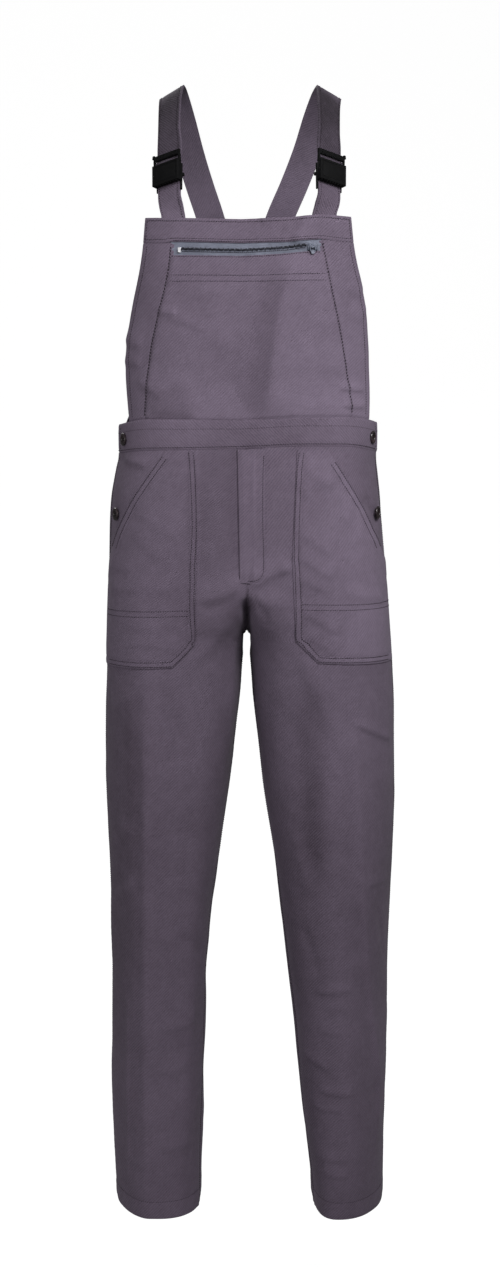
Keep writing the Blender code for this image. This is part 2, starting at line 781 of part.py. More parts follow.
def make_bib(collection, cloth):
    band = bib_sheet([BIB_TOP, (BIB_TOP + BAND_SEAM) / 2, BAND_SEAM], band_xs)
    cloth_object(collection, "bib_top_band", band, cloth)
    centre = bib_sheet(heights_between(POCKET_TOP, BIB_BOTTOM), lambda z: bib_xs(z, "centre"))
    cloth_object(collection, "bib_centre", centre, cloth)
    for part in ("side_left", "side_right"):
        sheet = bib_sheet(heights_between(BAND_SEAM - GAP, BIB_BOTTOM), lambda z, part=part: bib_xs(z, part))
        cloth_object(collection, f"bib_{part}", sheet, cloth)


def make_yoke(collection, cloth):
    rows = []
    for row in YOKE_ROWS:
        halves = {}
        for side in ("left", "right"):
            line = back_line(side, row.z)[::-1]
            halves[side] = evenly(piece_of_line(line, 0.0, row.reach), YOKE_COLUMNS // 2)
        points = halves["left"][::-1] + halves["right"][1:]
        heights = [row.z] * len(points)
        if row is YOKE_ROWS[-1]:
            heights = [waist_line(point[0], "top") + GAP for point in points]
        rows.append([(point[0], point[1], height) for point, height in zip(points, heights)])
    cloth_object(collection, "back_yoke", grid_mesh(rows, 0.0), cloth)


# ---- zip -------------------------------------------------------------------------------------

def make_zip_tapes(collection, tape):
    sunk = CLOTH + GAP
    left_limit = bib_edge(TAPE_MIDDLE, "left_seam") + TAPE_OVERLAP
    right_limit = bib_edge(TAPE_MIDDLE, "right_seam") - TAPE_OVERLAP
    upper = ("zip_tape_upper", TAPE_TOP, TAPE_MIDDLE + GAP / 2)
    lower = ("zip_tape_lower", TAPE_MIDDLE - GAP / 2, TAPE_BOTTOM)
    for name, top, bottom in (upper, lower):
        xs = np.linspace(right_limit, left_limit, CENTRE_COLUMNS + 1)
        sheet = bib_sheet([top, bottom], lambda z: xs, sunk)
        cloth_object(collection, name, sheet, tape, TAPE_WALL)


def make_zip_coil(collection, coil_material):
    curve = bpy.data.curves.new("zip_coil", "CURVE")
    curve.dimensions = "3D"
    curve.bevel_depth = COIL_RADIUS * MM
    curve.bevel_resolution = 2
    curve.use_fill_caps = True
    spline = curve.splines.new("POLY")
    xs = np.linspace(COIL_START_X, COIL_END_X, 15)
    spline.points.add(len(xs) - 1)
    middle_sunk = CLOTH - COIL_RADIUS
    for point, x in zip(spline.points, xs):
        point.co = (*(Vector(bib_point(x, TAPE_MIDDLE, middle_sunk)) * MM), 1.0)
    solid_from_curve(collection, "zip_coil", curve, coil_material)


def zip_frame(collection, name, x):
    """An empty on the tape's face: its X runs along the zip, -Y outwards and Z up."""
    empty = bpy.data.objects.new(name, None)
    collection.objects.link(empty)
    normal = front_normal_at(x, TAPE_MIDDLE)
    face = Vector(bib_point(x, TAPE_MIDDLE, CLOTH + GAP)) * MM
    empty.location = face
    empty.rotation_euler = (0.0, 0.0, math.atan2(normal.x, -normal.y))
    return empty


def make_slider(collection, cutters, metal):
    """The slider, with a lug on its face that the pull's axle runs through."""
    frame = zip_frame(collection, "zip_slider_frame", SLIDER_X)
    thickness = SLIDER_SIZE[1]
    face_y = -(GAP + thickness)
    axle = bpy.data.objects.new("zip_pull_axle", None)
    collection.objects.link(axle)
    axle.parent = frame
    axle.location = (0.0, (face_y - AXLE_STANDOFF) * MM, 0.0)
    axle.rotation_euler = (0.0, math.pi / 2, 0.0)

    middle = (0.0, face_y + thickness / 2, 0.0)
    body = block(collection, "zip_slider", SLIDER_SIZE, middle, metal, SLIDER_ROUNDING)
    lug_long, lug_out, lug_high = LUG_SIZE
    lug = block(cutters, "slider_lug", (lug_long, lug_out + LUG_SUNK, lug_high),
                (0.0, face_y - (lug_out - LUG_SUNK) / 2, 0.0), None, LUG_ROUNDING)
    hole = rod(cutters, "slider_axle_hole", AXLE_HOLE_RADIUS, lug_long + 2.0, (0.0, 0.0, 0.0))
    body.parent = frame
    lug.parent = frame
    hole.parent = axle
    boolean(body, "UNION", lug)
    boolean(body, "DIFFERENCE", hole)
    make_pull(collection, cutters, metal, axle)


def make_pull(collection, cutters, metal, axle):
    """The pull tab: a plate whose two arms stand either side of the lug, joined by a round axle.

    In the axle's frame X runs down the hanging pull and Z along the axle.
    """
    arm_half = LUG_SIZE[0] / 2 + PULL_SIDE_GAP
    outline = [
        (-PULL_ARM_END, arm_half), (PULL_WINDOW_END, arm_half), (PULL_WINDOW_END, -arm_half),
        (-PULL_ARM_END, -arm_half), (-PULL_ARM_END, -PULL_WIDTH / 2), (PULL_WINDOW_END, -PULL_WIDTH / 2),
        (PULL_LENGTH - PULL_CORNER, -PULL_TIP / 2), (PULL_LENGTH, -PULL_TIP / 2 + PULL_CORNER),
        (PULL_LENGTH, PULL_TIP / 2 - PULL_CORNER), (PULL_LENGTH - PULL_CORNER, PULL_TIP / 2),
        (PULL_WINDOW_END, PULL_WIDTH / 2), (-PULL_ARM_END, PULL_WIDTH / 2),
    ]
    plate = flat_outline(collection, "zip_pull", (outline,), PULL_THICKNESS, metal)
    plate.rotation_euler = (math.pi / 2, 0.0, 0.0)
    axle_long = PULL_WIDTH - AXLE_SHORTER
    axle_rod = rod(cutters, "pull_axle_rod", AXLE_RADIUS, axle_long, (0.0, 0.0, 0.0), None, 14)
    plate.parent = axle
    axle_rod.parent = axle
    boolean(plate, "UNION", axle_rod)


def make_stop(collection, metal):
    frame = zip_frame(collection, "zip_stop_frame", STOP_X)
    middle = (0.0, -(GAP + STOP_SIZE[1] / 2), 0.0)
    stop = block(collection, "zip_end_stop", STOP_SIZE, middle, metal, STOP_ROUNDING)
    stop.parent = frame


def make_zip(collection, cutters, tape, coil, metal, stop_metal):
    make_zip_tapes(collection, tape)
    make_zip_coil(collection, coil)
    make_slider(collection, cutters, metal)
    make_stop(collection, stop_metal)


# ---- straps and buckles ----------------------------------------------------------------------

def ribbon_directions(side, turn, tilt, lean_vector):
    """Across the strap towards the neck, along it, and outwards, for a ribbon so turned."""
    turn = math.radians(turn)
    tilt = math.radians(tilt)
    across = Vector((math.cos(tilt) * math.cos(turn), -math.cos(tilt) * math.sin(turn), math.sin(tilt)))
    if side == "left":
        across.x = -across.x
    along = lean_vector - across * lean_vector.dot(across)
    along.normalize()
    outward = across.cross(along) if side == "right" else along.cross(across)
    return across, along, outward


def buckle_frame(side):
    lean = math.radians(BUCKLE_LEAN)
    return ribbon_directions(side, BUCKLE_TURN, BUCKLE_TILT, Vector((0.0, math.sin(lean), math.cos(lean))))


def straight_row(centre, across):
    """One row of points across the strap, from its outer edge to its neck edge."""
    shares = np.linspace(-0.5, 0.5, STRAP_COLUMNS + 1)
    return [centre + across * STRAP_WIDTH * share for share in shares]


def buckle_row(side, along_distance):
    across, along, _ = buckle_frame(side)
    return straight_row(BUCKLE_PLACE[side] + along * along_distance, across)


def row_behind_bib(side, z):
    """A row sewn behind the bib's top band."""
    reach = STRAP_WIDTH / 2 * STRAP_DRAWN_IN
    centre = BIB_STRAP_X[side]
    xs = np.linspace(-reach, reach, STRAP_COLUMNS + 1) * (1 if side == "right" else -1)
    return [Vector(bib_point(centre + x, z, CLOTH + GAP + STRAP_WALL / 2)) for x in xs]


def row_on_yoke(side, centre_x, z):
    """A row sewn on the outside of the yoke; the ribbon runs in towards the centre back."""
    lean = math.radians(SHOULDER_ROWS[-1].tilt)
    row = []
    for share in np.linspace(-0.5, 0.5, STRAP_COLUMNS + 1):
        offset = STRAP_WIDTH * share * (1 if side == "right" else -1)
        x = centre_x + offset * math.cos(lean)
        height = z + STRAP_WIDTH * share * math.sin(lean)
        y = back_y_at(x, height)
        slope = (back_y_at(x + 1.0, height) - back_y_at(x - 1.0, height)) / 2
        normal = Vector((-slope, 1.0, 0.0)).normalized()
        row.append(Vector((x, y, height)) + normal * (GAP + STRAP_WALL / 2))
    return row


def smooth_rows(rows, steps):
    """Fill in rows between the given ones along a smooth curve through them."""
    filled = []
    last = len(rows) - 1
    for index in range(last):
        before = rows[max(0, index - 1)]
        after = rows[min(last, index + 2)]
        for step in range(steps):
            t = step / steps
            corners = zip(before, rows[index], rows[index + 1], after)
            filled.append([curve_point(*corner, t) for corner in corners])
    filled.append(rows[-1])
    return filled


def curve_point(before, start, end, after, t):
    """Catmull-Rom between start and end."""
    part_one = start * 2
    part_two = (end - before) * t
    part_three = (before * 2 - start * 5 + end * 4 - after) * t * t
    part_four = (start * 3 - before - end * 3 + after) * t * t * t
    return (part_one + part_two + part_three + part_four) * 0.5


def ribbon_object(collection, name, rows, cloth):
    sheet = grid_mesh(rows, 0.0)
    obj = cloth_object(collection, name, sheet, cloth, STRAP_WALL)
    obj.modifiers["wall"].offset = 0.0
    return obj


def make_straps(collection, cloth):
    for side in ("left", "right"):
        sewn = [row_behind_bib(side, z) for z in STRAP_BEHIND_BIB]
        low, high = (buckle_row(side, distance) for distance in TAB_ROWS)
        free = smooth_rows([sewn[-1], low], 3) + [high]
        ribbon_object(collection, f"strap_tab_{side}", sewn[:-1] + free, cloth)

        strap = [buckle_row(side, distance) for distance in STRAP_LOW_ROWS]
        for row in SHOULDER_ROWS:
            x = row.x_right if side == "right" else row.x_left
            across = ribbon_directions(side, row.turn, row.tilt, Vector((0.0, 0.0, 1.0)))[0]
            strap.append(straight_row(Vector((x, row.y, row.z)), across))
        strap += [row_on_yoke(side, *place) for place in YOKE_STRAP[side]]
        ribbon_object(collection, f"strap_{side}", smooth_rows(strap, 2), cloth)


def buckle_empty(collection, side):
    """An empty at the buckle: X across the strap, Y up along it and Z outwards."""
    across, along, outward = buckle_frame(side)
    across = across if side == "right" else -across
    empty = bpy.data.objects.new(f"buckle_frame_{side}", None)
    collection.objects.link(empty)
    turn = Matrix((across, along, outward)).transposed().to_4x4()
    empty.matrix_world = Matrix.Translation(BUCKLE_PLACE[side] * MM) @ turn
    return empty


def make_socket(collection, cutters, side, frame, plastic):
    """The buckle's lower half: a hollow body, open at its top and at both sides, and a frame below."""
    height = BODY_TOP - BODY_BOTTOM
    middle_y = (BODY_TOP + BODY_BOTTOM) / 2
    middle_z = (BODY_FRONT + BODY_BACK) / 2
    thickness = BODY_FRONT - BODY_BACK
    body = block(collection, f"buckle_socket_{side}", (BODY_WIDTH, height, thickness),
                 (0.0, middle_y, middle_z), plastic, BODY_ROUNDING)
    pieces = [body]
    rail_front = BODY_FRONT - RAIL_STEP
    for sign in (-1, 1):
        rail_x = sign * (BUCKLE_WIDTH - RAIL) / 2
        rail = block(cutters, f"socket_rail_{side}_{'a' if sign < 0 else 'b'}",
                     (RAIL, BODY_BOTTOM - FRAME_BOTTOM + RAIL_OVERLAP, rail_front - BAR_BACK),
                     (rail_x, (BODY_BOTTOM + FRAME_BOTTOM + RAIL_OVERLAP) / 2, (rail_front + BAR_BACK) / 2),
                     None, RAIL_ROUNDING)
        pieces.append(rail)
        boolean(body, "UNION", rail)
    bar_front = -STRAP_WALL / 2 - GAP
    bar = block(cutters, f"socket_bar_{side}", (BAR_WIDTH, BAR_HEIGHT, bar_front - BAR_BACK),
                (0.0, FRAME_BOTTOM + BAR_HEIGHT / 2, (bar_front + BAR_BACK) / 2))
    pieces.append(bar)
    boolean(body, "UNION", bar)
    wide, thick, deep = MOUTH
    ladder_z = (LADDER_BACK + LADDER_FRONT) / 2
    mouth = block(cutters, f"socket_mouth_{side}", (wide, deep + 2 * CUT_PAST, thick),
                  (0.0, BODY_TOP - deep / 2 + CUT_PAST, ladder_z))
    pieces.append(mouth)
    boolean(body, "DIFFERENCE", mouth)
    for sign in (-1, 1):
        window_x = sign * (BUCKLE_WIDTH / 2 - WINDOW[0] / 2 + CUT_PAST)
        window = block(cutters, f"socket_window_{side}_{'a' if sign < 0 else 'b'}",
                       (WINDOW[0] + CUT_PAST, WINDOW[1], thick), (window_x, WINDOW_CENTRE, ladder_z))
        pieces.append(window)
        boolean(body, "DIFFERENCE", window)
    for piece in pieces:
        piece.parent = frame


def make_ladder(collection, side, frame, plastic):
    """The buckle's upper half: a flat frame with the strap's slot, and two prongs into the socket."""
    half = BUCKLE_WIDTH / 2
    shoulder = BODY_TOP + GAP
    slot_half = half - RAIL
    prong_outer = MOUTH[0] / 2 - GAP
    prong_inner = prong_outer - PRONG
    edge = [
        (-half, LADDER_TOP), (-half, shoulder), (-prong_outer, shoulder), (-prong_outer, PRONG_END + 4.0),
        (-prong_outer + 2.0, PRONG_END), (-prong_inner, PRONG_END), (-prong_inner, BODY_TOP - 6.0),
        (prong_inner, BODY_TOP - 6.0), (prong_inner, PRONG_END), (prong_outer - 2.0, PRONG_END),
        (prong_outer, PRONG_END + 4.0), (prong_outer, shoulder), (half, shoulder), (half, LADDER_TOP),
    ]
    slot_top = LADDER_TOP - LADDER_BAR
    slot_bottom = shoulder + LADDER_FOOT
    slot = [(-slot_half, slot_top), (slot_half, slot_top)]
    slot += [(slot_half, slot_bottom), (-slot_half, slot_bottom)]
    thickness = LADDER_FRONT - LADDER_BACK
    ladder = flat_outline(collection, f"buckle_ladder_{side}", (edge, slot), thickness, plastic)
    ladder.location = (0.0, 0.0, (LADDER_BACK + LADDER_FRONT) / 2 * MM)
    ladder.parent = frame


def make_buckles(collection, cutters, plastic):
    for side in ("left", "right"):
        frame = buckle_empty(collection, side)
        make_socket(collection, cutters, side, frame, plastic)
        make_ladder(collection, side, frame, plastic)


# ---- buttons ---------------------------------------------------------------------------------

def button_mesh():
    """A turned disc with a raised rim and a dished middle, its underside at the origin."""
    disc = bmesh.new()
    verts = [disc.verts.new(Vector((radius, 0.0, height)) * MM) for radius, height in BUTTON_PROFILE]
    edges = [disc.edges.new(pair) for pair in zip(verts, verts[1:])]
    bmesh.ops.spin(disc, geom=verts + edges, cent=(0, 0, 0), axis=(0, 0, 1), angle=math.tau,
                   steps=24, use_merge=True)
    bmesh.ops.remove_doubles(disc, verts=disc.verts, dist=0.00001)
    bmesh.ops.recalc_face_normals(disc, faces=disc.faces)
    mesh = bpy.data.meshes.new("button")
    disc.to_mesh(mesh)
    disc.free()
    return mesh


def make_buttons(collection, cutters, plastic):
    shared = button_mesh()
    shared.materials.append(plastic)
    for place in BUTTONS:
        line = front_line(place.side, place.z)
        distance = split_at_y(line, place.y, ARC_POINTS, len(line))
        point = point_along(line, distance)
        ahead = point_along(line, distance + 2.0) - point_along(line, distance - 2.0)
        normal = Vector((ahead[1], -ahead[0], 0.0)).normalized()
        if normal.dot(Vector((point[0], point[1], 0.0))) < 0.0:
            normal.negate()
        button = bpy.data.objects.new(place.name, shared)
        collection.objects.link(button)
        seat = place.proud + GAP
        button.location = (Vector((point[0], point[1], place.z)) + normal * seat) * MM
        button.rotation_mode = "QUATERNION"
        button.rotation_quaternion = normal.to_track_quat("Z", "Y")
        for index in range(4):
            turn = math.radians(45 + 90 * index)
            where = (BUTTON_HOLE_PLACE * math.cos(turn), BUTTON_HOLE_PLACE * math.sin(turn), 1.5)
            hole = rod(cutters, f"{place.name}_hole_{index}", BUTTON_HOLE, 6.0, where, None, 10)
            hole.parent = button
            boolean(button, "DIFFERENCE", hole)


def main():
    clear_scene()
    garment = new_collection("bib_overalls")
    cutters = new_collection("cutters")
    cloth = new_material("purple_grey_twill", (0.105, 0.078, 0.105), 0.85)
    tape = new_material("grey_zip_tape", (0.16, 0.17, 0.21), 0.8)
    coil = new_material("dark_zip_coil", (0.035, 0.035, 0.05), 0.5)
    metal = new_material("dull_zip_metal", (0.30, 0.31, 0.34), 0.4, 0.8)
    stop_metal = new_material("bright_stop_metal", (0.85, 0.85, 0.86), 0.35, 0.6)
    buckle_plastic = new_material("black_buckle_plastic", (0.012, 0.012, 0.013), 0.5)
    button_plastic = new_material("brown_button_plastic", (0.025, 0.016, 0.018), 0.4)

    make_trousers(garment, cloth)
    make_patch_pockets(garment, cloth)
    make_fly(garment, cloth)
    make_waistband(garment, cloth)
    make_bib(garment, cloth)
    make_yoke(garment, cloth)
    make_zip(garment, cutters, tape, coil, metal, stop_metal)
    make_straps(garment, cloth)
    make_buckles(garment, cutters, buckle_plastic)
    make_buttons(garment, cutters, button_plastic)


main()
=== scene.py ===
"""Bib overalls: the finished look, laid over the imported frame.

Tables are in millimetres, in the frame's own axes: +X is the wearer's left, -Y the front, +Z up.
"""
import math

import bmesh
import bpy
import numpy as np
from mathutils import Matrix, Vector


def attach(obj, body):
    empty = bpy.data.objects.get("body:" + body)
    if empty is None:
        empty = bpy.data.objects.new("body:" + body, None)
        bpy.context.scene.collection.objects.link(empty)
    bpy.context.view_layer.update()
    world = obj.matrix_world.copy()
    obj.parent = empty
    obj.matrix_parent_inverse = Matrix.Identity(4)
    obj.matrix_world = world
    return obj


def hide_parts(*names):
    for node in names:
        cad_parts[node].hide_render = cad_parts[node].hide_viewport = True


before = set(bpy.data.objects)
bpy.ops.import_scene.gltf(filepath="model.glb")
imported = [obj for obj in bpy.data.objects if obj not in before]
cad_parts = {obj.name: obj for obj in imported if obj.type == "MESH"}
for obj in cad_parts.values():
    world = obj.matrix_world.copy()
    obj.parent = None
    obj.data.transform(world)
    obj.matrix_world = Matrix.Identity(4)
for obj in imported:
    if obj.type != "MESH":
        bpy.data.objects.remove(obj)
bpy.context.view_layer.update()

MM = 0.001

# ---- sizes of the form ----

CLOTH = 1.3               # wall of a sewn layer
GAP = 0.4                 # between layers
CENTRE_X = -3.0
CROTCH_Z = -711.0
FRONT_FORK_Z = -633.0
BACK_FORK_Z = -596.0
PANEL_TOP = -462.0
HEM_Z = -1500.0
HEM_STITCH = -1476.0
ROW = 3.2                 # spacing of the weave's grid down a leg panel
INNER_COLUMNS = 27
OUTER_COLUMNS = 33
WRAP_COLUMNS = 8          # of a back panel's edge that turns to the front
SEAM_GAP = 0.25
INSEAM_TURN = 30.0        # over this height below the crotch the inseam moves to its place
PANEL_RISE = 0.4          # the leg panels' tops touch the waistband's foot
WAIST_FADE_Z = -492.0     # down to here the panels follow the waistband's foot
CORE_X = {"left": 114.0, "right": -114.5}
ARC_POINTS = 70

# z, outer, inner, front_x, front_y, back_x, back_y
RINGS = {
    "left": [
        (-165, 172, -3, 55, -110, 50, 106), (-300, 174, -3, 55, -113, 50, 104),
        (-425, 170, -3, 50, -113, 50, 106), (-465, 169, -3, 52, -115, 56, 110),
        (-490, 170, -3, 56, -117, 62, 115), (-520, 174, -3, 62, -119, 70, 121),
        (-560, 178, -3, 70, -120, 78, 127), (-600, 182, -3, 80, -120, 84, 129),
        (-633, 184, -3, 86, -119, 88, 128), (-660, 186, -3, 90, -118, 90, 126),
        (-685, 188, -3, 94, -116, 92, 123), (-711, 190, -3, 98, -115, 94, 120),
        (-740, 192, 2, 102, -113, 97, 116), (-790, 195, 5, 107, -110, 101, 110),
        (-850, 196, 12, 112, -107, 106, 104), (-920, 198, 19, 116, -104, 111, 98),
        (-1000, 196, 32, 120, -101, 117, 94), (-1080, 193, 43, 124, -99, 121, 94),
        (-1160, 190, 52, 126, -97, 124, 95), (-1240, 190, 62, 127, -96, 127, 95),
        (-1320, 189, 69, 126, -96, 129, 95), (-1400, 187, 78, 125, -97, 131, 95),
        (-1460, 187, 86, 124, -98, 134, 95), (-1500, 187, 88, 123, -98, 136, 95),
    ],
    "right": [
        (-165, -172, -3, -55, -110, -50, 106), (-300, -174, -3, -55, -113, -50, 104),
        (-425, -172, -3, -50, -113, -50, 106), (-465, -173, -3, -52, -115, -56, 110),
        (-490, -178, -3, -56, -117, -62, 115), (-520, -184, -3, -62, -119, -70, 121),
        (-560, -185, -3, -70, -120, -78, 127), (-600, -186, -3, -82, -120, -84, 129),
        (-633, -188, -3, -92, -119, -88, 128), (-660, -189, -3, -101, -118, -90, 126),
        (-685, -190, -3, -109, -116, -94, 123), (-711, -191, -3, -116, -115, -98, 120),
        (-740, -191, -9, -122, -113, -102, 116), (-790, -193, -13, -129, -110, -106, 110),
        (-850, -194, -19, -133, -106, -110, 104), (-920, -194, -28, -135, -103, -114, 98),
        (-1000, -191, -38, -136, -100, -117, 94), (-1080, -189, -51, -136, -98, -120, 93),
        (-1160, -188, -58, -136, -96, -123, 93), (-1240, -189, -60, -137, -95, -125, 93),
        (-1320, -190, -62, -137, -95, -126, 93), (-1400, -189, -65, -137, -95, -126, 93),
        (-1460, -186, -66, -136, -95, -126, 93), (-1500, -185, -66, -135, -95, -125, 93),
    ],
}
# how square each quarter of the section is: z, inner front, outer front, outer back, inner back
ROUNDNESS = {
    "left": [
        (-700, 2.3, 2.3, 2.3, 2.3), (-780, 2.4, 2.1, 2.3, 2.3), (-900, 2.5, 1.9, 2.2, 2.3),
        (-1500, 2.5, 1.9, 2.2, 2.3),
    ],
    "right": [
        (-690, 2.3, 2.3, 2.3, 2.3), (-760, 2.5, 1.9, 2.2, 2.3), (-880, 2.8, 1.7, 2.1, 2.3),
        (-1500, 2.8, 1.7, 2.1, 2.3),
    ],
}
# painted light and shade on the legs, darker at the knees and shins: z, right, left
LEG_SHADES = [
    (-500, 0.0, 0.0), (-640, 0.0, 0.04), (-775, -0.10, 0.12), (-960, -0.32, -0.12),
    (-1020, -0.32, -0.20), (-1223, -0.25, -0.10), (-1407, 0.02, -0.05), (-1500, 0.02, -0.05),
]
BACK_SHADE = 0.6          # how much of that shows on the back
# where the side seam and the inseam run: z, side y, inseam y
SEAMS = [
    (-425, -38, 0), (-600, -34, 0), (-711, -26, 0), (-850, -16, -14), (-1000, -8, -28),
    (-1500, 0, -42),
]
# the waistband's edges: x, top, bottom
WAIST_LINES = [
    (-174, -433, -471), (-155, -427, -467), (-134, -424, -465), (-5, -425, -462),
    (59, -420.5, -459), (130, -420.5, -459.5), (156, -424, -464), (171, -430, -470),
]
# the bib's edges and inner seams: z, right edge, right seam, left seam, left edge
BIB_ROWS = [
    (-170, -132, -96, 90, 130), (-202, -135, -98.5, 92, 133.5), (-218, -137, -100, 95.5, 136.5),
    (-236, -140, -102, 99, 140.5), (-260, -145.5, -107, 103.5, 145),
    (-291, -152.5, -114.5, 110.5, 150.5), (-331, -158.5, -124, 118, 153.5),
    (-365, -160, -128.5, 124, 155), (-395, -159.5, -132, 128.5, 156),
    (-425, -158, -135.5, 132, 156),
]
# the top of the bib sags in the middle and lifts under the left strap: x, lift
BIB_WAVE = [(-133, 0), (-99, -1.5), (-10, -3.5), (50, -1), (92, 3), (133, 1)]
BIB_WAVE_ENDS_Z = -270.0
BIB_TOP = -170.0
BAND_SEAM = -202.0
POCKET_TOP = -218.0
BIB_BOTTOM = -425.0
LOW_BIB_Z = -365.0        # from here down the bib follows the waistband

WAISTBAND_PROUD = 0.9
WAISTBAND_WALL = 2.0
UNDERLAP = 34.0
UNDERLAP_SINK = 2.8
UNDERLAP_FADE = 14.0

# the back yoke: z, reach round from the centre back
YOKE_ROWS = [
    (-233, 60),
    (-262, 64),
    (-300, 80),
    (-340, 104),
    (-380, 135),
    (-408, 165),
    (-425, 196),
]

FLY_RIGHT_X = -15.0
FLY_LEFT_X = 21.0
FLY_BOTTOM_Z = -633.0
FLY_CORNER = 17.0
FLY_STITCH = 2.2

TAPE_TOP = -195.0
TAPE_MIDDLE = -210.0
TAPE_BOTTOM = -222.0
COIL_START_X = -85.0
COIL_END_X = 73.0
# how far the seams above and below the zip bow up, and the zip between them: x and rise
UPPER_SWAY = ((-109, 0.4), (-99, 2.5), (-40, 2.3), (10, 2.1), (64, 1.4), (95, 1.0), (110, 0.2))
LOWER_SWAY = ((-104, 1.4), (-40, 1.8), (10, 2.2), (40, 2.8), (64, 3.5), (97, 2.8))
ZIP_SWAY = ((-100, 1.2), (-40, 1.0), (10, 1.2), (40, 1.9), (64, 2.7), (95, 2.9))

STRAP_WIDTH = 38.0
STRAP_WALL = 3.0
# the straps over the shoulders: x right, x left, y, z, turn, tilt
SHOULDER_ROWS = [
    (-102.3, 102.3, -64, -56, 43, 12), (-101.7, 102.8, -42, -25, 38, 18),
    (-100.8, 103.6, -19, -7, 28, 24), (-100, 104, 5, -1.5, 16, 27), (-97.2, 99.2, 30, -8, 5, 27),
    (-90.2, 90.2, 55, -31, -5, 24), (-80.2, 78.2, 78, -68, -10, 20),
    (-67.2, 61.2, 95, -110, -11, 18), (-52.8, 42.3, 105, -153, -9, 17),
    (-40.4, 28.4, 109, -197, -6, 16),
]
STRAP_ON_BIB_X = {"right": -96.7, "left": 96.6}
TAB_FOOT = 0.82           # how much of its width the tab keeps where it is sewn in behind the bib
STRAP_ON_YOKE = {"right": ((-32.0, -236.0), (-29.5, -260.0)), "left": ((20.0, -236.0), (17.5, -260.0))}
STRAP_BEHIND_BIB = (-196.0, -182.0, -169.0)
# beside the buckle: distance up along the strap, distance outwards, share of the strap's width
TAB_ROWS = ((-36.0, 0.0, 0.95), (-18.0, 0.0, 0.97), (-4.0, -0.3, 0.97))
STRAP_LOW_ROWS = ((-3.0, 5.6, 0.96), (8.0, 5.6, 0.96), (12.0, 5.2, 0.96), (15.0, 3.6, 0.96), (18.5, 1.4, 0.98),
                  (24.0, 0.3, 1.0), (38.0, 0.0, 1.0))
BUCKLE_PLACE = {"right": (-100.8, -85.5, -112.8), "left": (101.2, -85.5, -111.9)}
BODY_HALF = 21.0
BODY_LOW = -17.2
BODY_HIGH = 10.2
BODY_BACK = 1.9
BODY_FRONT = 9.6
LADDER_HALF = 21.6
LADDER_LOW = 16.8
LADDER_HIGH = 23.8
LADDER_BACK = 3.4
LADDER_FRONT = 6.4
RAIL_FOOT = 7.0
BUCKLE_TURN = 37.0
BUCKLE_TILT = 11.5
BUCKLE_LEAN = 17.0

# patch pockets: a place inside, the painted light and shade on the cloth at distances from the middle of the
# garment, and as x and z the inner and lower edge, the slanted opening, and the ends of the two rows of stitches
POCKETS = {
    "right": {
        "middle": (-140, -640),
        "fade": ((70, 100, 123, 147, 170), (-0.10, -0.07, 0.0, 0.06, 0.25)),
        "edge": [(-69, -466), (-67.5, -616), (-71, -716), (-98.5, -744.5), (-187, -748)],
        "slant": [(-109, -466), (-152, -528), (-172, -568), (-182, -596)],
        "rows": [((-79, -669), (-186, -674)), ((-79, -676), (-186, -681))],
    },
    "left": {
        "middle": (130, -640),
        "fade": ((66, 90, 113, 136, 160), (0.10, 0.08, 0.28, 0.44, 0.58)),
        "edge": [(61.5, -460), (55.5, -601), (60.5, -710), (89.5, -738), (188, -743.5)],
        "slant": [(100, -460), (148.5, -537), (162.5, -567.5), (176, -596)],
        "rows": [((68, -661), (186, -664)), ((68, -668), (186, -671))],
    },
}
